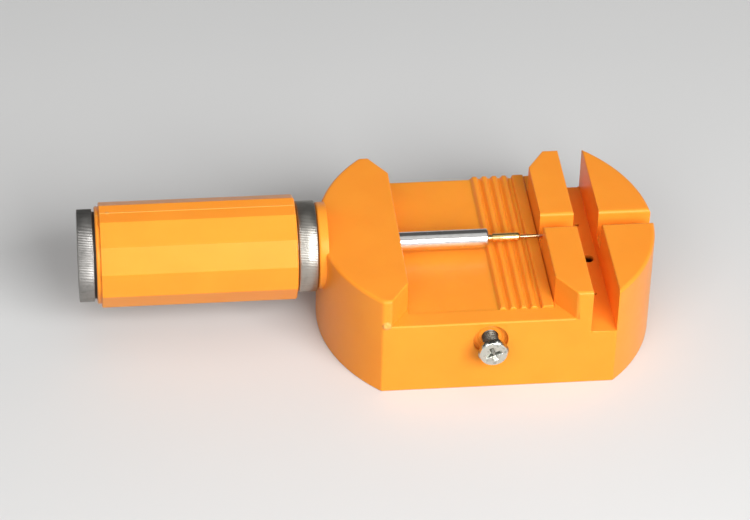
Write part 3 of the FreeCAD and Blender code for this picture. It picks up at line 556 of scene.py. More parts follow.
@dataclass(frozen=True)
class MouldedPlastic:
    """Satin moulded plastic: a fine grain, faint flow marks, dust and rubbed spots, with painted shade in pin
    holes and painted highlights on a gate nub and a parting seam.
    """

    name: str
    colour: Colour
    roughness: float = 0.34
    glow: float = 0.12
    # Pin holes whose insides are painted near-black as shade.
    painted_shade_holes: tuple[Spot, ...] = ()
    # A gate nub, which gets a painted highlight as well as real gloss and bumps.
    nub: Spot | None = None
    nub_radius: float = 1.0
    # Whether a painted highlight runs along the parting seam at y = 0.
    seam: bool = False

    def make(self) -> Material:
        """Build the material."""
        mix = Recipe(self.name)
        spot = mix.spot()
        flow = mix.noise(spot, 14.0, 3, 0.5)
        grain = mix.noise(spot, 0.3, 2, 0.6)
        skin = mix.noise(spot, 2.4, 3, 0.5)
        dust = mix.dots(spot, 3.1, 0.1) * mix.noise(spot, 7.0, 1).above(0.52, 0.62)
        rub = mix.noise(mix.spot((0.4, 1.8, 1.8)), 1.6, 3, 0.6).above(0.55, 0.75)
        deep, light = (
            tuple(min(part * share, 1) for part, share in zip(self.colour, shares))
            for shares in ((0.985, 0.965, 0.95), (1.015, 1.035, 1.05))
        )
        tone = mix.blend(flow.above(0.3, 0.7), deep, light)
        tone = mix.blend(grain.above(0.55, 0.85) * 0.06, tone, (1.0, 0.5, 0.1))
        tone = mix.blend(dust * 0.45, tone, (1.0, 0.72, 0.42))
        # Painted shade: below the channel floor, each pin hole's inside is blended to near-black, standing
        # for the shadow deep in the hole.
        for x, y, radius in self.painted_shade_holes:
            inside = mix.near((x, y, 0), radius + 0.02, radius + 0.15, (1, 1, 0))
            tone = mix.blend(inside * (1 - mix.parts(spot)[2].above(13.4, 14.6)), tone, (0.03, 0.012, 0.006))
        rough = self.roughness + 0.08 * (skin - 0.5) + 0.05 * rub + 0.1 * dust
        normal = mix.bump(grain, 0.003, mix.bump(skin, 0.008))
        # A paler tone on the gate nub is a painted highlight; its lower roughness and its bumps give it real
        # gloss and shape.
        if self.nub:
            near = mix.near(self.nub, 0.9 * self.nub_radius, 1.3 * self.nub_radius)
            tone = mix.blend(near * 0.35, tone, (1.0, 0.6, 0.22))
            rough = rough - 0.2 * near
            normal = mix.bump(mix.noise(spot, 0.6, 2) * near, 0.14 * self.nub_radius, normal)
        # A lighter strip along y = 0 paints a highlight on the grip's two parting ridges.
        if self.seam:
            line = 1 - mix.parts(spot)[1].math("ABSOLUTE").above(0.1, 0.24)
            tone = mix.blend(line * 0.4, tone, (1.0, 0.55, 0.16))
        return mix.finish(tone, rough, {
            "Normal": normal,
            "Subsurface Weight": self.glow,
            "Subsurface Radius": (1.0, 0.28, 0.06),
            "Subsurface Scale": 0.0022,
            "Specular IOR Level": 0.42,
            "Specular Tint": (1.0, 0.74, 0.44, 1.0),
        })


@dataclass(frozen=True)
class TurnedMetal:
    """Metal turned on a lathe about a line along X: rings of tool marks, streaks along it, small stains."""

    name: str
    colour: Colour
    dark: Colour
    roughness: float
    stain: float = 0.4
    streak: float = 0.3

    def make(self) -> Material:
        """Build the material."""
        mix = Recipe(self.name)
        spot = mix.spot()
        marks = mix.noise(mix.spot((1.0, 0.02, 0.02)), 0.09, 2, 0.6)
        streaks = mix.noise(mix.spot((0.12, 1.6, 1.6)), 0.5, 3, 0.6)
        clouds = mix.noise(spot, 1.7, 4, 0.62)
        specks = mix.dots(spot, 0.9, 0.13) * clouds.above(0.45, 0.6)
        share = self.stain * clouds.above(0.46, 0.78) + self.streak * streaks.above(0.45, 0.75) + 0.5 * specks
        tone = mix.blend(share, self.colour, self.dark)
        rough = self.roughness + 0.16 * (clouds - 0.5) + 0.12 * (streaks - 0.5) + 0.15 * specks
        normal = mix.bump(streaks, 0.003, mix.bump(marks, 0.0035))
        return mix.finish(tone, rough, {"Normal": normal, **METAL})


@dataclass(frozen=True)
class ThreadedSteel:
    """Plain steel with a thread cut round the spindle line, its roots painted darker as shade."""

    name: str
    pitch: float
    colour: Colour = (0.5, 0.49, 0.47)

    def make(self) -> Material:
        """Build the material."""
        mix = Recipe(self.name)
        spot = mix.spot((1, 1, 1), (0, *SPINDLE))
        x, y, z = mix.parts(spot)
        phase = (x / self.pitch + z.math("ARCTAN2", y) / FULL_TURN).math("FRACT")
        crest = 1 - (2 * phase - 1).math("ABSOLUTE")
        # The thread's roots are painted darker as shade in the grooves; the crests stay bright.
        tone = mix.blend(crest.above(0.2, 0.8), (0.2, 0.18, 0.15), self.colour)
        rough = 0.42 - 0.12 * crest + 0.1 * (mix.noise(spot, 0.5, 3) - 0.5)
        return mix.finish(tone, rough, {"Normal": mix.bump(crest, 0.5), **METAL})


@dataclass(frozen=True)
class Plating:
    """Bright plating with a rough, pitted skin, painted darker behind the head's face as shade on its sides.
    """

    name: str
    colour: Colour = (0.7, 0.71, 0.64)
    roughness: float = 0.2
    # Where the painted shade on the head's sides begins.
    face: float = -33.55

    def make(self) -> Material:
        """Build the material."""
        mix = Recipe(self.name)
        spot = mix.spot()
        # Painted shade: everything behind the head's face is darkened as shade on the head's sides; the shank
        # lies wholly behind it, so there the mask only makes the whole colour darker.
        painted_shade_flank = mix.parts(spot)[1].above(self.face, self.face + 0.15)
        lumps = mix.noise(spot, 0.55, 4, 0.6)
        pits = mix.dots(spot, 0.5, 0.12)
        wear = mix.noise(spot, 1.1, 3, 0.6).above(0.5, 0.7)
        dark = tuple(part * 0.42 for part in self.colour)
        tone = mix.blend(0.7 * wear + 0.4 * pits + 0.75 * painted_shade_flank, self.colour, dark)
        rough = self.roughness + 0.2 * wear + 0.2 * pits
        normal = mix.bump(pits, -0.02, mix.bump(lumps, 0.07))
        return mix.finish(tone, rough, {"Normal": normal, **METAL})


@dataclass(frozen=True)
class DullPiece:
    """A plain fibre or nylon piece, or the near-black fill that stands for shade in a seam, with a fine
    speckle.
    """

    name: str
    colour: Colour
    speck: Colour
    roughness: float
    speck_size: float = 0.3

    def make(self) -> Material:
        """Build the material."""
        mix = Recipe(self.name)
        spot = mix.spot()
        specks = mix.noise(spot, self.speck_size, 3, 0.7)
        clouds = mix.noise(spot, 2.5, 2)
        tone = mix.blend(0.6 * specks.above(0.45, 0.7) + 0.2 * clouds, self.colour, self.speck)
        rough = self.roughness + 0.12 * (clouds - 0.5)
        return mix.finish(tone, rough, {"Normal": mix.bump(specks, 0.02)})


RECIPES = {
    "body": MouldedPlastic("body_orange", ORANGE, painted_shade_holes=PIN_HOLES, nub=GATE_NUB),
    "bed": MouldedPlastic("bed_orange", ORANGE, 0.33, 0.35),
    "cover": MouldedPlastic("cover_orange", ORANGE, 0.45, 0.1),
    "grip": MouldedPlastic("grip_orange", ORANGE, 0.31, nub=GRIP_GATE, nub_radius=0.4, seam=True),
    "ring": TurnedMetal("ring_aluminium", (0.43, 0.41, 0.37), (0.24, 0.225, 0.2), 0.33),
    "cap": TurnedMetal("cap_aluminium", (0.31, 0.3, 0.285), (0.11, 0.105, 0.1), 0.4),
    "hub": TurnedMetal("hub_aluminium", (0.7, 0.7, 0.69), (0.5, 0.5, 0.49), 0.38),
    "rod": TurnedMetal("rod_bright", (0.8, 0.79, 0.77), (0.42, 0.4, 0.37), 0.21, 0.4, 0.15),
    "brass": TurnedMetal("holder_brass", (0.88, 0.62, 0.25), (0.52, 0.3, 0.1), 0.25, 0.3, 0.2),
    "bush": TurnedMetal("bush_brass", (0.8, 0.56, 0.22), (0.42, 0.26, 0.09), 0.34),
    "pin": TurnedMetal("pin_steel", (0.56, 0.38, 0.22), (0.32, 0.2, 0.1), 0.26, 0.3, 0.3),
    "steel": TurnedMetal("plain_steel", (0.55, 0.54, 0.52), (0.3, 0.29, 0.27), 0.36),
    "thread": ThreadedSteel("spindle_thread", 1.5),
    "plating": Plating("clamp_plating"),
    "zinc": Plating("clamp_zinc", (0.2, 0.185, 0.155), 0.36),
    "fibre": DullPiece("washer_fibre", (0.22, 0.11, 0.05), (0.36, 0.22, 0.12), 0.75),
    "nylon": DullPiece("pad_nylon", (0.8, 0.79, 0.74), (0.66, 0.65, 0.6), 0.5, 0.6),
    # A near-black finish for the cap gasket, painted shade that fills the gap between the cap and the grip.
    "seam_shade": DullPiece("gasket_rubber", (0.03, 0.024, 0.02), (0.07, 0.06, 0.055), 0.7),
}


@dataclass
class MouldedBody:
    """The orange moulding with its end blocks, bay, jaw bar, channel, collar and spindle tube."""

    finishes: Finishes
    half_width: float = 28.5
    end_centre: float = 0.8
    end_radius: float = 38.8
    rim: float = 18.76
    top: float = 26.15
    foot_round: float = 0.3
    top_round: float = 0.9
    corner_round: Flat = (0.5, 1.5)
    bay: Flat = (-20.73, 13.2)
    relief: Flat = (21.75, 4.5)
    relief_round: float = 1.2
    well_half: float = 23.9
    notch_floor: float = 12.46
    channel: Flat = (21.17, 27.13)
    channel_floor: float = 14.73
    slot_half: float = 2.29
    slot_round: float = 0.9
    edge_round: float = 0.35
    clamp: Flat = (-2.1, 13.62)
    recess: Flat = (4.0, -27.0)
    nose_round: float = 1.3
    nub: Spot = GATE_NUB
    nub_size: Flat = (1.0, 0.5)
    nut_corner: float = 7.1 / 3 ** 0.5

    def plan(self, inset: float, corner: float) -> list[Flat]:
        """Outline of the body, drawn in by an inset, with round front and back corners."""
        radius = self.end_radius - 0.01 - inset
        half = self.half_width - inset
        swing = asin(half / radius)
        turns = [swing * (step / 24 - 1) for step in range(49)]
        right = [(self.end_centre + radius * cos(a), radius * sin(a)) for a in turns]
        left = [(-x, -y) for x, y in right]
        corner = max(corner - inset * 0.5, 0.1)
        return rounded(right + left, {0: corner, 48: corner, 49: corner, 97: corner})

    def block(self) -> Thing:
        """The solid block with a round foot and a rounded top."""
        foot, crown = self.foot_round, self.top_round
        low, high = self.corner_round
        levels = [(foot * (1 - sin(a)), foot * (1 - cos(a)), low) for a in quarter(6)]
        levels += [(crown * (1 - cos(a)), self.top - crown + crown * sin(a), high) for a in quarter(6)]
        return loft("moulded_body", [[(x, y, z) for x, y in self.plan(inset, r)] for inset, z, r in levels])

    def collar(self) -> list[Thing]:
        """The collar on the spindle line and the tube behind it."""
        arc = [(0.6 * (1 - cos(a)) - 40.0, 10.2 - 0.6 * (1 - sin(a))) for a in ROUND_TURNS]
        return [
            turned("collar", arc + [(-37.95, 10.2), (-37.7, 10.1), (-37.6, 9.85)], 128),
            turned("tube", [(-53.2, 5.85), (-53.05, 6.0), (-38.5, 6.0)]),
        ]

    def flashes(self) -> list[Thing]:
        """The domed gate nub on the front edge and the two small spurs at the foot."""
        radius, stand = self.nub_size
        x, y, z = self.nub
        dome = [(y + 0.9, radius + 0.05)]
        dome += [(y - stand * sin(a), radius * cos(a) ** 0.8) for a in quarter(7)[:-1]]
        nub = turned("nub", dome + [(y - stand, 0.1)], 40, Axis.Y, (x, z))
        for vertex in nub.data.vertices:
            turn = atan2(vertex.co.z / MM - z, vertex.co.x / MM - x)
            vertex.co.y -= 0.06 * MM * sin(2 * turn + 0.6) * (vertex.co.y / MM < y - 0.1)
        spur = [(0.5 - 0.45 * cos(a), 0.4 * sin(a)) for a in (0.3, 0.8, 1.3, 1.57, 1.9, 2.3, 2.8)]
        return [nub] + [turned(f"spur_{side}", spur, 20, Axis.Z, (side * 26.9, -28.2)) for side in (-1, 1)]

    def bay_cutter(self) -> Thing:
        """The bay above the rim, relieved towards the front and back, with round edges at the block tops."""
        (start, run), (left, right) = self.relief, self.bay
        front, end = self.half_width, self.half_width + 2
        bend = pi / 2 - atan(run / (front - start))
        reach = self.nose_round * tan(bend / 2)
        outline = [
            (left - run - reach, -end), (right + run + reach, -end), (right + run, -front),
            (right, -start), (right, start), (right + run, front), (right + run + reach, end),
            (left - run - reach, end), (left - run, front), (left, start), (left, -start),
            (left - run, -front),
        ]
        smooth = self.noses(outline, bend, reach)
        levels = [(0.0, self.rim)] + [(out, self.top + up) for out, up in flare(self.edge_round)]
        return loft("bay", [[(x, y, z) for x, y in spread(smooth, out)] for out, z in levels])

    def noses(self, outline: Sequence[Flat], bend: float, reach: float) -> list[Flat]:
        """Round the bay's outline where the relieved walls start and where they run out into the flat front.

        Args:
            outline: The bay's corners.
            bend: The angle between a relieved wall and the front.
            reach: The distance along each of them that the round takes up.

        Returns:
            The rounded outline.
        """
        smooth: list[Flat] = []
        radius = self.nose_round
        for x, y in rounded(outline, {number: self.relief_round for number in (3, 4, 9, 10)}):
            if abs(abs(y) - self.half_width) > 0.001:
                smooth.append((x, y))
                continue
            side, up = copysign(1, x), copysign(1, y)
            turns = [bend * step / 6 for step in range(7)]
            middle = (x + side * reach, y - up * radius)
            arc = [(middle[0] - side * radius * sin(a), middle[1] + up * radius * cos(a)) for a in turns]
            smooth += arc if side * up < 0 else reversed(arc)
        return smooth

    def trench(self, name: str, walls: Flat, floor: float, radius: float, reach: Flat, axis: Axis) -> Thing:
        """Make a cutter for a straight trench with round shoulders.

        Args:
            name: The cutter's name.
            walls: The places of its two walls.
            floor: The height of its floor.
            radius: The radius of its shoulders at the block tops.
            reach: Where it starts and ends along its line.
            axis: The direction of its line.

        Returns:
            The cutter.
        """
        left, right = walls
        curve = flare(radius)
        sides = [(right + out, self.top + up) for out, up in curve]
        sides += [(left - out, self.top + up) for out, up in reversed(curve)]
        low = [(left, floor + 0.25), (left + 0.08, floor + 0.08), (left + 0.25, floor)]
        low += [(right - 0.25, floor), (right - 0.08, floor + 0.08), (right, floor + 0.25)]
        return prism(name, low + sides, *reach, axis)

    def rim_cutter(self) -> Thing:
        """The long round along the front edge of the rim, which runs out where the blocks start."""
        left, right = (edge + side * self.relief[1] for edge, side in zip(self.bay, (-1, 1)))
        rings = []
        for x, radius in (
            (left - 0.4, 0.06), (left, 0.25), (left + 0.4, 0.42), (left + 0.8, 0.5),
            (right - 0.8, 0.5), (right - 0.4, 0.42), (right, 0.25), (right + 0.4, 0.06),
        ):
            y, z = radius - self.half_width, self.rim - radius
            arc = [(x, y - radius * cos(a), z + radius * sin(a)) for a in quarter(6)]
            out, up = y - radius - 0.1, self.rim + 0.02
            rings.append([*arc, (x, y, up), (x, out, up), (x, out, z)])
        return loft("rim_round", rings)

    def rounds(self, first: Vector, second: Vector) -> float:
        """Radius for an edge of the flat front and back: none inside the clamp's recess and in the notch."""
        flat = all(abs(abs(end.y) - self.half_width) < 0.01 for end in (first, second))
        near = all(dist((end.x, end.z), self.clamp) < 5 and end.y < 0 for end in (first, second))
        return 0.3 if flat and not near else 0.0

    def make(self) -> None:
        """Build and dress the moulding."""
        body = combine(self.block(), Join.ADD, *self.collar())
        left, right = self.bay
        half = self.well_half
        corners = [(left, -half), (right, -half), (right, half), (left, half)]
        radius, floor = self.recess
        rim = [(-self.half_width - up, radius + out) for out, up in reversed(flare(0.2, 3))]
        groove = [(floor, radius - 0.3), (floor, 3.0), (floor + 0.12, 2.85), (floor, 2.7)]
        bore = [
            (-54.2, 4.5), (-45.2, 4.5), (-45.2, 3.3), (-27.03, 3.3), (-27.03, 2.33), (-20.93, 2.33),
            (-20.68, 2.58), (-20.0, 2.58),
        ]
        slot = (-self.slot_half, self.slot_half)
        tools = [
            self.bay_cutter(),
            self.rim_cutter(),
            prism("well", rounded(corners, {n: 0.4 for n in range(4)}), -1, self.rim + 1, Axis.Z),
            box("notch", (left, 22.9, self.notch_floor), (right, 30, self.rim + 1)),
            self.trench("channel", self.channel, self.channel_floor, self.edge_round, (-30, 30), Axis.Y),
            self.trench("slot", slot, self.rim, self.slot_round, (12.2, 41), Axis.X),
            turned("bore", bore, 64),
        ]
        tools += [turned(name, profile, steps, Axis.Y, self.clamp) for name, profile, steps in (
            ("recess", [(-30, radius + 0.2), *rim, (floor - 0.3, radius), *groove], 96),
            ("clamp_hole", [(-27.5, 1.95), (-23.4, 1.95)], 48),
            ("nut_pocket", [(-26.0, self.nut_corner), (-23.0, self.nut_corner)], 6),
        )]
        tools.append(box("cover_seat", (-26.08, -26.55, -1), (18.55, 26.55, 2)))
        for x, y, size in PIN_HOLES:
            lip = [(self.channel_floor + up, size + out) for out, up in flare(0.12, 3)]
            tools.append(turned(f"hole_{y}", [(2.73, size)] + lip, 40, Axis.Z, (x, y)))
        for number, at in enumerate(COVER_SCREWS):
            tools.append(turned(f"screw_hole_{number}", [(1.5, 1.1), (8, 1.1)], 24, Axis.Z, at))
        combine(body, Join.CUT, *tools)
        soften(body, self.rounds)
        combine(body, Join.ADD, *self.flashes())
        place(body, "base", self.finishes["body"], "body_plastic", "base_body", angle=32)


@dataclass
class BottomCover:
    """The flat cover under the well and its two countersunk screws."""

    finishes: Finishes
    low: Spot = (-25.93, -26.4, 0.0)
    high: Spot = (18.4, 26.4, 2.0)

    def screw(self) -> Thing:
        """One screw with a flat head, a cross recess and a thread of close rings."""
        profile = [(0.0, 1.85), (0.08, 1.97), (0.2, 1.97), (0.95, 1.1)]
        for step in range(10):
            profile += [(1.2 + step * 0.66, 0.85), (1.53 + step * 0.66, 1.08)]
        screw = turned("cover_screw", profile + [(7.9, 0.8)], 24, Axis.Z, (0, 0))
        arms = [box(f"arm_{turn}", (-1.1, -0.22, -0.1), (1.1, 0.22, 0.6)) for turn in range(2)]
        arms[1].data.transform(Matrix.Rotation(pi / 2, 4, "Z"))
        return combine(screw, Join.CUT, *arms)

    def make(self) -> None:
        """Build and dress the cover and its screws."""
        cover = box("cover_plate", self.low, self.high)
        sink = [(-0.2, 2.2), (0.9, 1.1), (2.2, 1.1)]
        sinks = [turned(f"sink_{number}", sink, 32, Axis.Z, at) for number, at in enumerate(COVER_SCREWS)]
        combine(cover, Join.CUT, *sinks)
        left, right, back = self.low[0] + 0.01, self.high[0] - 0.01, self.high[1] - 0.01

        def foot(first: Vector, second: Vector) -> float:
            """Round the cover's outer edges and leave its holes."""
            outside = (abs(end.y) > back or end.x < left or end.x > right for end in (first, second))
            return 0.25 if all(outside) else 0.0

        soften(cover, foot)
        place(cover, "base", self.finishes["cover"], "cover_plastic", "bottom_cover")
        template = self.screw()
        rule = Rule("screw_row")
        (x, y), (far_x, far_y) = COVER_SCREWS
        count, *start, step_x, step_y = rule.sizes(
            screws=len(COVER_SCREWS), first_x=x, first_y=y, step_x=far_x - x, step_y=far_y - y
        )
        start, step = rule.vector(*start, 0.0), rule.vector(step_x, step_y, 0.0)
        row = {"Count": count, "Start Location": start, "Offset": step}
        spots = rule.link("GeometryNodeMeshLine", row, mode="OFFSET")
        source = rule.node("GeometryNodeObjectInfo", {"Object": template}).outputs["Geometry"]
        full = rule.link("GeometryNodeTransform", {"Geometry": source, "Scale": (1 / MM, 1 / MM, 1 / MM)})
        rows = rule.link("GeometryNodeInstanceOnPoints", {"Points": spots, "Instance": full})
        screws = rule.make("flat_screws", rows, self.finishes["steel"])
        bpy.data.objects.remove(template)
        place(screws, "base", self.finishes["steel"], "screw_steel", "cover_screws")


@dataclass
class RibbedBed:
    """The bed in the bay: a plate with a skirt, a shelf to the back, webs beneath and ribs along the top."""

    finishes: Finishes
    left: float = -20.68
    right: float = 13.15
    skirt_half: float = 23.85
    back: float = 28.3
    foot: float = 5.9
    top: float = 18.36
    plate: float = 2.0
    wall: float = 1.8
    rib_height: float = 0.95
    rib_wave: Flat = (0.13, 0.5)
    rib_ends: Flat = (0.3, 0.35)
    rib_pitch: float = 2.4
    rib_count: int = 4
    first_rib: float = 1.17
    stop_rib: Flat = (10.2, 13.05)
    rib_steps: int = 24
    valley: float = 0.03

    def ribs(self) -> Thing:
        """The four ribs: a bar whose top follows a wave across the bed and sinks a little at both ends."""
        rule = Rule("bed_ribs")
        count, rows, pitch, first, height = rule.sizes(
            ribs=self.rib_count, rows=25, rib_pitch=self.rib_pitch, first_rib=self.first_rib,
            rib_height=self.rib_height,
        )
        top, base, front_end, back_end = rule.sizes(
            bed_top=self.top, root_height=self.top - 0.5, front_end=-self.skirt_half, back_end=self.back
        )
        crest, foot, front, back = rule.sizes(
            crest_share=self.rib_wave[0], foot_share=self.rib_wave[1],
            front_round=self.rib_ends[0], back_round=self.rib_ends[1],
        )
        shape = {"Size": (1.0, 2.0, 1.0), "Vertices X": self.rib_steps * count + 1, "Vertices Y": rows}
        block = rule.link("GeometryNodeMeshCube", shape)
        across, along, level = rule.here()
        turn = (across + 0.5) * count
        share = 1 - (turn.math("FRACT") - 0.5).math("ABSOLUTE").above(crest, foot)
        side = along.math("SIGN")
        near = (1 - along * side) ** 3
        half = (back_end - front_end) / 2
        radius = front + (back - front) * (side * 0.5 + 0.5)
        curl = (1 - near * half / radius).math("MAXIMUM", 0.0)
        drop = radius * (1 - (1 - curl * curl) ** 0.5)
        crown = top + self.valley + share * (height - self.valley - drop)
        up = (level + 0.5).math("ROUND")
        x, y = first + (turn - 0.5) * pitch, front_end + half + side * (1 - near) * half
        ribs = rule.move(block, x, y, base + up * (crown - base))
        return rule.make("bed_ribs", ribs, self.finishes["bed"])

    def make(self) -> None:
        """Build and dress the bed."""
        left, right, top, half, wall = self.left, self.right, self.top, self.skirt_half, self.wall
        low = top - self.plate
        bed = box("ribbed_bed", (left, -half, self.foot), (right, half, top))
        combine(bed, Join.ADD, box("shelf", (left, half - 1, low), (right, self.back, top)))
        inner = half - wall
        combine(bed, Join.CUT, box("hollow", (left + wall, -inner, 4), (right - wall, inner, low)))
        combine(bed, Join.ADD, *(
            box(f"web_{y}", (left + 1, y - 0.8, low - 5), (right - 1, y + 0.8, low + 0.5)) for y in (-7, 7)
        ))
        a, b = self.stop_rib
        crown = top + self.rib_height
        section = [(a - 0.35, low + 1), (b + 0.05, low + 1), (b, crown), (a + 0.15, crown)]
        stop = prism("stop_rib", rounded(section, {2: 0.35, 3: 0.5}), -half, self.back, Axis.Y)

        def lip(first: Vector, second: Vector) -> float:
            """Round the edges of the bed's top face."""
            return 0.22 if min(first.z, second.z) > top - 0.01 else 0.0

        def ends(first: Vector, second: Vector) -> float:
            """Round the ends of the stop rib."""
            return 0.28 if abs(first.y - second.y) < 0.01 and lip(first, second) else 0.0

        soften(bed, lip)
        soften(stop, ends)
        for piece in (bed, stop, self.ribs()):
            place(piece, "platform", self.finishes["bed"], "platform_plastic", "platform")


@dataclass
class Handle:
    """The twelve-sided grip with its round rear seat, two parting ridges and gate mark."""

    finishes: Finishes
    corner_radius: float = 12.35
    corner_round: float = 0.6
    sides: int = 12
    facet_turn: float = 16.7
    front: float = -44.95
    rear: float = -90.35
    seat_rear: float = -91.35
    seat_radius: float = 11.35
    bore: float = 9.2
    seams: tuple[Flat, Flat] = ((1, 33.585), (-1, 9.715))

    def grip(self) -> Thing:
        """The grip: a twelve-sided section with soft corners, swept along the spindle line."""
        rule = Rule("grip_section")
        sides, radius, steps, soft, turn, rear, front = rule.sizes(
            sides=self.sides, corner_radius=self.corner_radius, steps_in_a_corner=3,
            corner_round=self.corner_round, turn_of_the_flats=radians(self.facet_turn),
            rear_end=self.rear, front_end=self.front,
        )
        circle = {"Resolution": sides, "Radius": radius}
        ring = rule.link("GeometryNodeCurvePrimitiveCircle", circle, mode="RADIUS")
        corners = {"Curve": ring, "Count": steps, "Radius": soft}
        section = rule.link("GeometryNodeFilletCurve", corners, mode="POLY")
        flats = {"Geometry": section, "Rotation": rule.vector(0.0, 0.0, turn)}
        spun = rule.link("GeometryNodeTransform", flats)
        start, end = (rule.vector(along, 0.0, SPINDLE[1]) for along in (rear, front))
        line = rule.link("GeometryNodeCurvePrimitiveLine", {"Start": start, "End": end})
        sweep = {"Curve": line, "Profile Curve": spun, "Fill Caps": True}
        return rule.make("grip", rule.link("GeometryNodeCurveToMesh", sweep), self.finishes["grip"])

    def seam(self, side: float, level: float) -> Thing:
        """One of the two long parting ridges: 1 for the upper one and -1 for the lower one, at a height."""
        steps = ((-0.2, -0.1), (0.2, -0.1), (0.2, -0.005), (0.04, 0.07), (-0.04, 0.07), (-0.2, -0.005))
        outline = [(across, level + side * up) for across, up in steps]
        return prism(f"seam_{side}", outline, self.rear + 0.2, self.front - 0.5, Axis.X)

    def make(self) -> None:
        """Build and dress the grip."""
        grip = self.grip()

        def nose(first: Vector, second: Vector) -> float:
            """Round the grip's front end, and its rear end a little."""
            if min(first.x, second.x) > self.front - 0.01:
                return 0.6
            return 0.25 if max(first.x, second.x) < self.rear + 0.01 else 0.0

        soften(grip, nose, 4)
        mark = [(33.4, 0.5), (33.6, 0.46), (33.64, 0.3), (33.655, 0.1)]
        gate = turned("gate", mark, 24, Axis.Z, GRIP_GATE[:2])
        rear, radius = self.seat_rear, self.seat_radius
        seat = turned("seat", [(rear, radius - 0.25), (rear + 0.25, radius), (self.rear + 0.6, radius)], 128)
        combine(grip, Join.ADD, seat, gate, *(self.seam(side, level) for side, level in self.seams))
        bore = [(-92, self.bore), (self.front - 0.2, self.bore), (self.front + 0.3, self.bore + 0.5)]
        combine(grip, Join.CUT, turned("bore", bore))
        place(grip, "handle", self.finishes["grip"], "handle_plastic", "handle_sleeve", angle=20)


@dataclass
class FrontRing:
    """The bright metal ring at the body end of the handle, with a fine knurl and a spigot in the grip."""

    finishes: Finishes
    name: str = "bright_ring"
    home: tuple[str, str, str, str] = ("handle", "ring", "ring_metal", "front_ring")
    bored: bool = True
    profile: tuple[Flat, ...] = (
        (-52.2, 6.5), (-40.45, 6.5), (-40.15, 6.8), (-40.15, 10.1), (-40.25, 10.3), (-40.45, 10.42),
        (-44.4, 10.42), (-44.62, 10.3), (-44.7, 10.1), (-44.7, 9.2), (-52.0, 9.2), (-52.2, 9.0),
    )
    band: Flat = (-44.56, -40.3)
    crest: float = 10.66
    depth: float = 0.05
    ridges: int = 168
    steps: int = 8
    edge: float = 0.1
    wall: float = 0.4

    def knurl(self) -> Thing:
        """The fine straight ridges: a closed band round the ring that follows a wave."""
        rule = Rule(f"{self.name}_ridges")
        count, rows, low, high, crest, edge, depth = rule.sizes(
            ridges=self.ridges, rows=7, rear_end=self.band[0], front_end=self.band[1],
            crest_radius=self.crest, edge_round=self.edge, ridge_depth=self.depth,
        )
        sheet = {"Size X": 1.0, "Size Y": 1.0, "Vertices X": self.steps * count + 1, "Vertices Y": rows}
        around, across, _ = rule.here()
        turn, row = around * FULL_TURN, (across + 0.5) * 6
        outer, top, far = row.within(0.5, 4.5), row.within(1.5, 3.5), row.within(2.5, 5.5)
        shoulder, core = crest - edge, crest - self.wall
        wave = crest - depth * (0.5 - 0.5 * (turn * count).math("COSINE"))
        along = low + (high - low) * far + self.edge * top * (1 - 2 * far)
        reach = core + outer * (shoulder - core) + top * (wave - shoulder)
        y, z = reach * turn.math("COSINE"), SPINDLE[1] + reach * turn.math("SINE")
        band = rule.move(rule.link("GeometryNodeMeshGrid", sheet), along, y, z)
        return rule.make(f"{self.name}_ridges", band, self.finishes[self.home[1]])

    def make(self) -> None:
        """Build and dress the ring and its ridges."""
        body, finish, slot, node = self.home
        core = turned(self.name, self.profile, self.ridges, closed=self.bored)
        for piece, angle in ((core, 28), (self.knurl(), 50)):
            place(piece, body, self.finishes[finish], slot, node, angle=angle)


@dataclass
class EndCap(FrontRing):
    """The dark metal cap with a fine knurl, a smooth bevel and a hollow spigot."""

    name: str = "dark_cap"
    home: tuple[str, str, str, str] = ("cap", "cap", "cap_metal", "end_cap")
    bored: bool = False
    profile: tuple[Flat, ...] = (
        (-95.38, 4.0), (-95.38, 9.2), (-95.5, 9.35), (-95.5, 10.15), (-95.44, 10.3), (-95.3, 10.42),
        (-92.1, 10.56), (-91.95, 10.5), (-91.87, 10.3), (-91.87, 9.15), (-84.1, 9.15), (-83.85, 8.9),
        (-83.85, 7.35), (-91.87, 7.35),
    )
    band: Flat = (-95.44, -91.98)
    crest: float = 10.78
    depth: float = 0.09


@dataclass
class Spindle:
    """The bright rod with its brass holder and fine pin."""

    finishes: Finishes
    radius: float = 2.28
    nose: float = 0.45
    front: float = 0.6
    shoulder: float = -27.33

    def make(self) -> None:
        """Build and dress the rod, the holder and the pin."""
        radius, soft, front, shoulder = self.radius, self.nose, self.front, self.shoulder
        rod = [
            (-67.9, 1.1), (-67.7, 1.3), (-66.7, 1.3), (-66.7, 0.95), (-66.1, 0.95), (-66.1, 1.3),
            (shoulder, 1.3), (shoulder, radius - 0.15), (shoulder + 0.15, radius),
        ]
        rod += [(front - soft + soft * sin(a), radius - soft + soft * cos(a)) for a in ROUND_TURNS]
        rod += [(front, 0.95), (front - 0.2, 0.76), (-3.4, 0.76)]
        holder = [
            (-3.3, 0.6), (-3.2, 0.75), (1.35, 0.75), (1.45, 0.7), (1.5, 0.62), (1.6, 0.62), (1.6, 0.82),
            (1.66, 0.95), (1.78, 1.0), (4.9, 1.0), (7.6, 1.0), (7.9, 0.96), (8.12, 0.86), (8.25, 0.7),
            (8.25, 0.42), (4.25, 0.42),
        ]
        pin = [(4.3, 0.36), (4.35, 0.4), (13.5, 0.4), (13.6, 0.38), (13.67, 0.3), (13.7, 0.18)]
        for name, profile, steps, finish, slot, node in (
            ("bright_rod", rod, 96, "rod", "rod_chrome", "push_rod"),
            ("brass_holder", holder, 64, "brass", "holder_brass", "pin_holder"),
            ("fine_pin", pin, 32, "pin", "pin_steel", "push_pin"),
        ):
            place(turned(name, profile, steps), "rod", self.finishes[finish], slot, node)


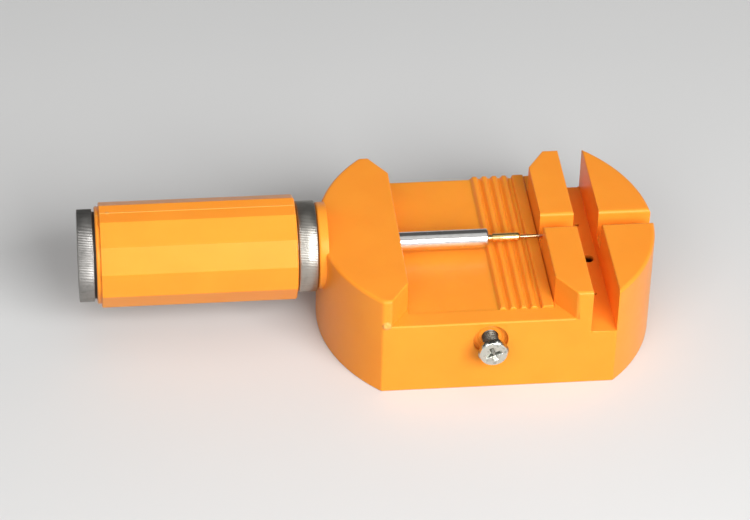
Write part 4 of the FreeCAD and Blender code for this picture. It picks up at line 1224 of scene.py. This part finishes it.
@dataclass
class ClampScrew:
    """The plated cross-head screw in the front."""

    finishes: Finishes
    line: Flat = (-2.1, 13.62)
    root: float = 1.5
    crest: float = 1.85
    pitch: float = 0.7
    shank: Flat = (-32.4, -25.6)
    head: Flat = (-33.75, -32.35)
    head_corner: float = 3.6
    head_flat: float = 3.28
    cross_mouth: Flat = (2.15, 0.55)
    cross_floor: Flat = (1.0, 0.26)
    cross_turn: float = 0.35

    def thread(self) -> Thing:
        """The shank: a sheet rolled round the screw's line, with its radius following the thread."""
        rule = Rule("clamp_thread")
        rows, around = 90, 40
        low, high, root, crest, pitch = rule.sizes(
            head_end=self.shank[0], tip_end=self.shank[1], root_radius=self.root, crest_radius=self.crest,
            pitch=self.pitch,
        )
        sheet = {"Size X": 1.0, "Size Y": FULL_TURN, "Vertices X": rows, "Vertices Y": around + 1}
        share, turn, _ = rule.here()
        step = 1 / (rows - 1)
        inside = (share + 0.5 - step) / (1 - 2 * step)
        held = inside.math("MAXIMUM", 0.0).math("MINIMUM", 1.0)
        along = low + (high - low) * held
        phase = (along / pitch + turn / FULL_TURN).math("FRACT")
        slope = (2 * phase - 1).math("ABSOLUTE")
        taper = 1 - 0.25 * held.above(0.93, 1.0)
        radius = (root + (crest - root) * slope.above(0.15, 0.85)) * taper
        wide = radius * inside.math("COMPARE", held, step / 4)
        x, z = self.line[0] + wide * turn.math("COSINE"), self.line[1] + wide * turn.math("SINE")
        rolled = rule.move(rule.link("GeometryNodeMeshGrid", sheet), x, along, z)
        return rule.make("clamp_shank", rolled, self.finishes["zinc"])

    def make(self) -> None:
        """Build and dress the screw."""
        (front, back), corner, (x, z) = self.head, self.head_corner, self.line
        head = turned("clamp_head", [
            (front, 2.8), (front + 0.04, 3.0), (front + 0.16, 3.16), (front + 0.6, corner - 0.04),
            (front + 0.7, corner), (back - 0.08, corner), (back, corner - 0.1),
        ], 72, Axis.Y, self.line)
        for vertex in head.data.vertices:
            out, up = vertex.co.x / MM - x, vertex.co.z / MM - z
            turn = (atan2(up, out) - radians(10)) % (pi / 3) - pi / 6
            share = min(1, self.head_flat / cos(turn) / hypot(out, up))
            vertex.co.x = (x + out * share) * MM
            vertex.co.z = (z + up * share) * MM
        tools = []
        for number in range(2):
            angle = self.cross_turn + number * pi / 2
            over, rise = cos(angle), sin(angle)
            rings = []
            for level, (long, wide) in ((front - 0.1, self.cross_mouth), (front + 0.8, self.cross_floor)):
                corners = ((-long, -wide), (long, -wide), (long, wide), (-long, wide))
                rings.append([(x + a * over - b * rise, level, z + a * rise + b * over) for a, b in corners])
            tools.append(loft(f"recess_{number}", rings))
        combine(head, Join.CUT, *tools)

        def rim(first: Vector, second: Vector) -> float:
            """Soften the mouth of the cross."""
            mouth = max(first.y, second.y) < front + 0.02 and dist((first.x, first.z), (x, z)) < 2.2
            return 0.1 if mouth else 0.0

        soften(head, rim, 2)
        place(head, "clamp_screw", self.finishes["plating"], "clamp_plating", "clamp_screw")
        place(self.thread(), "clamp_screw", self.finishes["zinc"], "clamp_plating", "clamp_screw", angle=40)


@dataclass
class KeptPieces:
    """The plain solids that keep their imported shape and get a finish."""

    finishes: Finishes
    nodes: dict[str, Thing]

    def make(self) -> None:
        """Dress each solid."""
        # The cap gasket gets the near-black seam fill, painted shade for the gap between the cap and the
        # grip.
        for name, finish in (
            ("thread_bush", "bush"), ("clamp_nut", "bush"), ("clamp_pad", "nylon"), ("thrust_washer", "bush"),
            ("retaining_clip", "steel"), ("drive_screw", "thread"), ("drive_hub", "hub"),
            ("hub_set_screw", "steel"), ("stop_washer", "fibre"), ("cap_gasket", "seam_shade"),
        ):
            for slot in self.nodes[name].material_slots:
                slot.material = self.finishes[finish]
            LOG.info("%s: %s", name, finish)


@dataclass
class Studio:
    """The camera at the photograph's angle, a pale floor and soft lights."""

    azimuth: float = -0.1235295
    elevation: float = 0.6455856
    roll: float = 0.0303618
    distance: float = 784.84
    aim: Flat = (25.37, -12.13)
    lens: float = 157.607
    floor_half: float = 3000

    @staticmethod
    def way(turn: float, rise: float) -> Vector:
        """Point outwards at an angle from the front towards the right and an angle above the table."""
        return Vector((sin(turn) * cos(rise), -cos(turn) * cos(rise), sin(rise)))

    def camera(self) -> None:
        """Set the camera."""
        back = self.way(self.azimuth, self.elevation)
        side = (-back).cross(Vector((0, 0, 1))).normalized()
        up = side.cross(-back)
        right = cos(self.roll) * side + sin(self.roll) * up
        above = -sin(self.roll) * side + cos(self.roll) * up
        data = bpy.data.cameras.new("camera")
        data.lens = self.lens
        data.sensor_width = 36
        data.clip_start = 0.05
        data.clip_end = 20
        obj = bpy.data.objects.new("camera", data)
        frame = Matrix((right, above, back)).transposed().to_4x4()
        frame.translation = (back * self.distance - (self.aim[0] * right + self.aim[1] * above)) * MM
        obj.matrix_world = frame
        bpy.context.scene.collection.objects.link(obj)
        bpy.context.scene.camera = obj

    def lamp(self, name: str, turn: float, rise: float, away: float, size: Flat, power: float) -> None:
        """Hang a soft lamp that looks at the tool.

        Args:
            name: The lamp's name.
            turn: Its angle from the front towards the right, in degrees.
            rise: Its angle above the table, in degrees.
            away: Its distance in metres.
            size: Its width and height in metres.
            power: Its power in watts.
        """
        data = bpy.data.lights.new(name, "AREA")
        data.shape = "RECTANGLE"
        data.size, data.size_y = size
        data.energy = power
        obj = bpy.data.objects.new(name, data)
        way = self.way(radians(turn), radians(rise))
        obj.location = way * away + Vector((-0.01, 0, 0.015))
        obj.rotation_euler = way.to_track_quat("Z", "Y").to_euler()
        bpy.context.scene.collection.objects.link(obj)

    def floor(self) -> None:
        """Lay a pale floor, which is darker only where it would light the tool from below."""
        far = self.floor_half
        corners = [(-far, -far, 0), (far, -far, 0), (far, far, 0), (-far, far, 0)]
        floor = build("floor", corners, [(0, 1, 2, 3)])
        mix = Recipe("pale_floor")
        tone = mix.blend(mix.noise(mix.spot(), 120.0, 2), (0.68, 0.68, 0.675), (0.71, 0.71, 0.705))
        ray = mix.node("ShaderNodeLightPath")
        tone = mix.blend(ray.outputs["Is Diffuse Ray"], tone, (0.28, 0.28, 0.28))
        floor.data.materials.append(mix.finish(tone, 0.7, {"Specular IOR Level": 0.2}))

    def world(self) -> None:
        """Light the room softly, with a pale backdrop."""
        world = bpy.data.worlds.new("room")
        bpy.context.scene.world = world
        world.use_nodes = True
        mix = Nodes(world.node_tree)
        mix.tree.nodes.clear()
        rays = mix.node("ShaderNodeLightPath").outputs
        eye, clear, shiny = (mix.value(rays[f"Is {ray} Ray"]) for ray in ("Camera", "Transmission", "Glossy"))
        seen = eye.math("MAXIMUM", clear)
        height = mix.parts(mix.node("ShaderNodeTexCoord").outputs["Generated"])[2]
        mirror = 0.9 - 0.8 * height.above(0.02, 0.32)
        level = seen * 0.9 + (1 - seen) * (shiny * mirror + (1 - shiny) * 0.19)
        back = mix.node("ShaderNodeBackground", {"Color": (1, 1, 1, 1), "Strength": level})
        mix.node("ShaderNodeOutputWorld", {"Surface": back.outputs[0]})

    def make(self) -> None:
        """Set up the studio."""
        self.camera()
        bpy.context.scene.view_settings.view_transform = "Standard"
        self.lamp("key_softbox", 24, 32, 0.95, (0.6, 0.5), 11.2)
        self.lamp("left_softbox", -26, 34, 0.95, (0.5, 0.5), 3.2)
        self.lamp("top_softbox", 10, 80, 1.1, (0.8, 0.8), 1.2)
        self.floor()
        self.world()


def main() -> None:
    """Load the frame and build every piece of the tool on it."""
    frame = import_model()
    Studio().make()
    finishes = {name: recipe.make() for name, recipe in RECIPES.items()}
    for piece in (
        MouldedBody(finishes),
        BottomCover(finishes),
        RibbedBed(finishes),
        Handle(finishes),
        FrontRing(finishes),
        EndCap(finishes),
        Spindle(finishes),
        ClampScrew(finishes),
        KeptPieces(finishes, frame["nodes"]),
    ):
        piece.make()
        LOG.info("%s is done", type(piece).__name__)


if __name__ == "__main__":
    logging.basicConfig(level=logging.INFO, format="%(message)s")
    main()
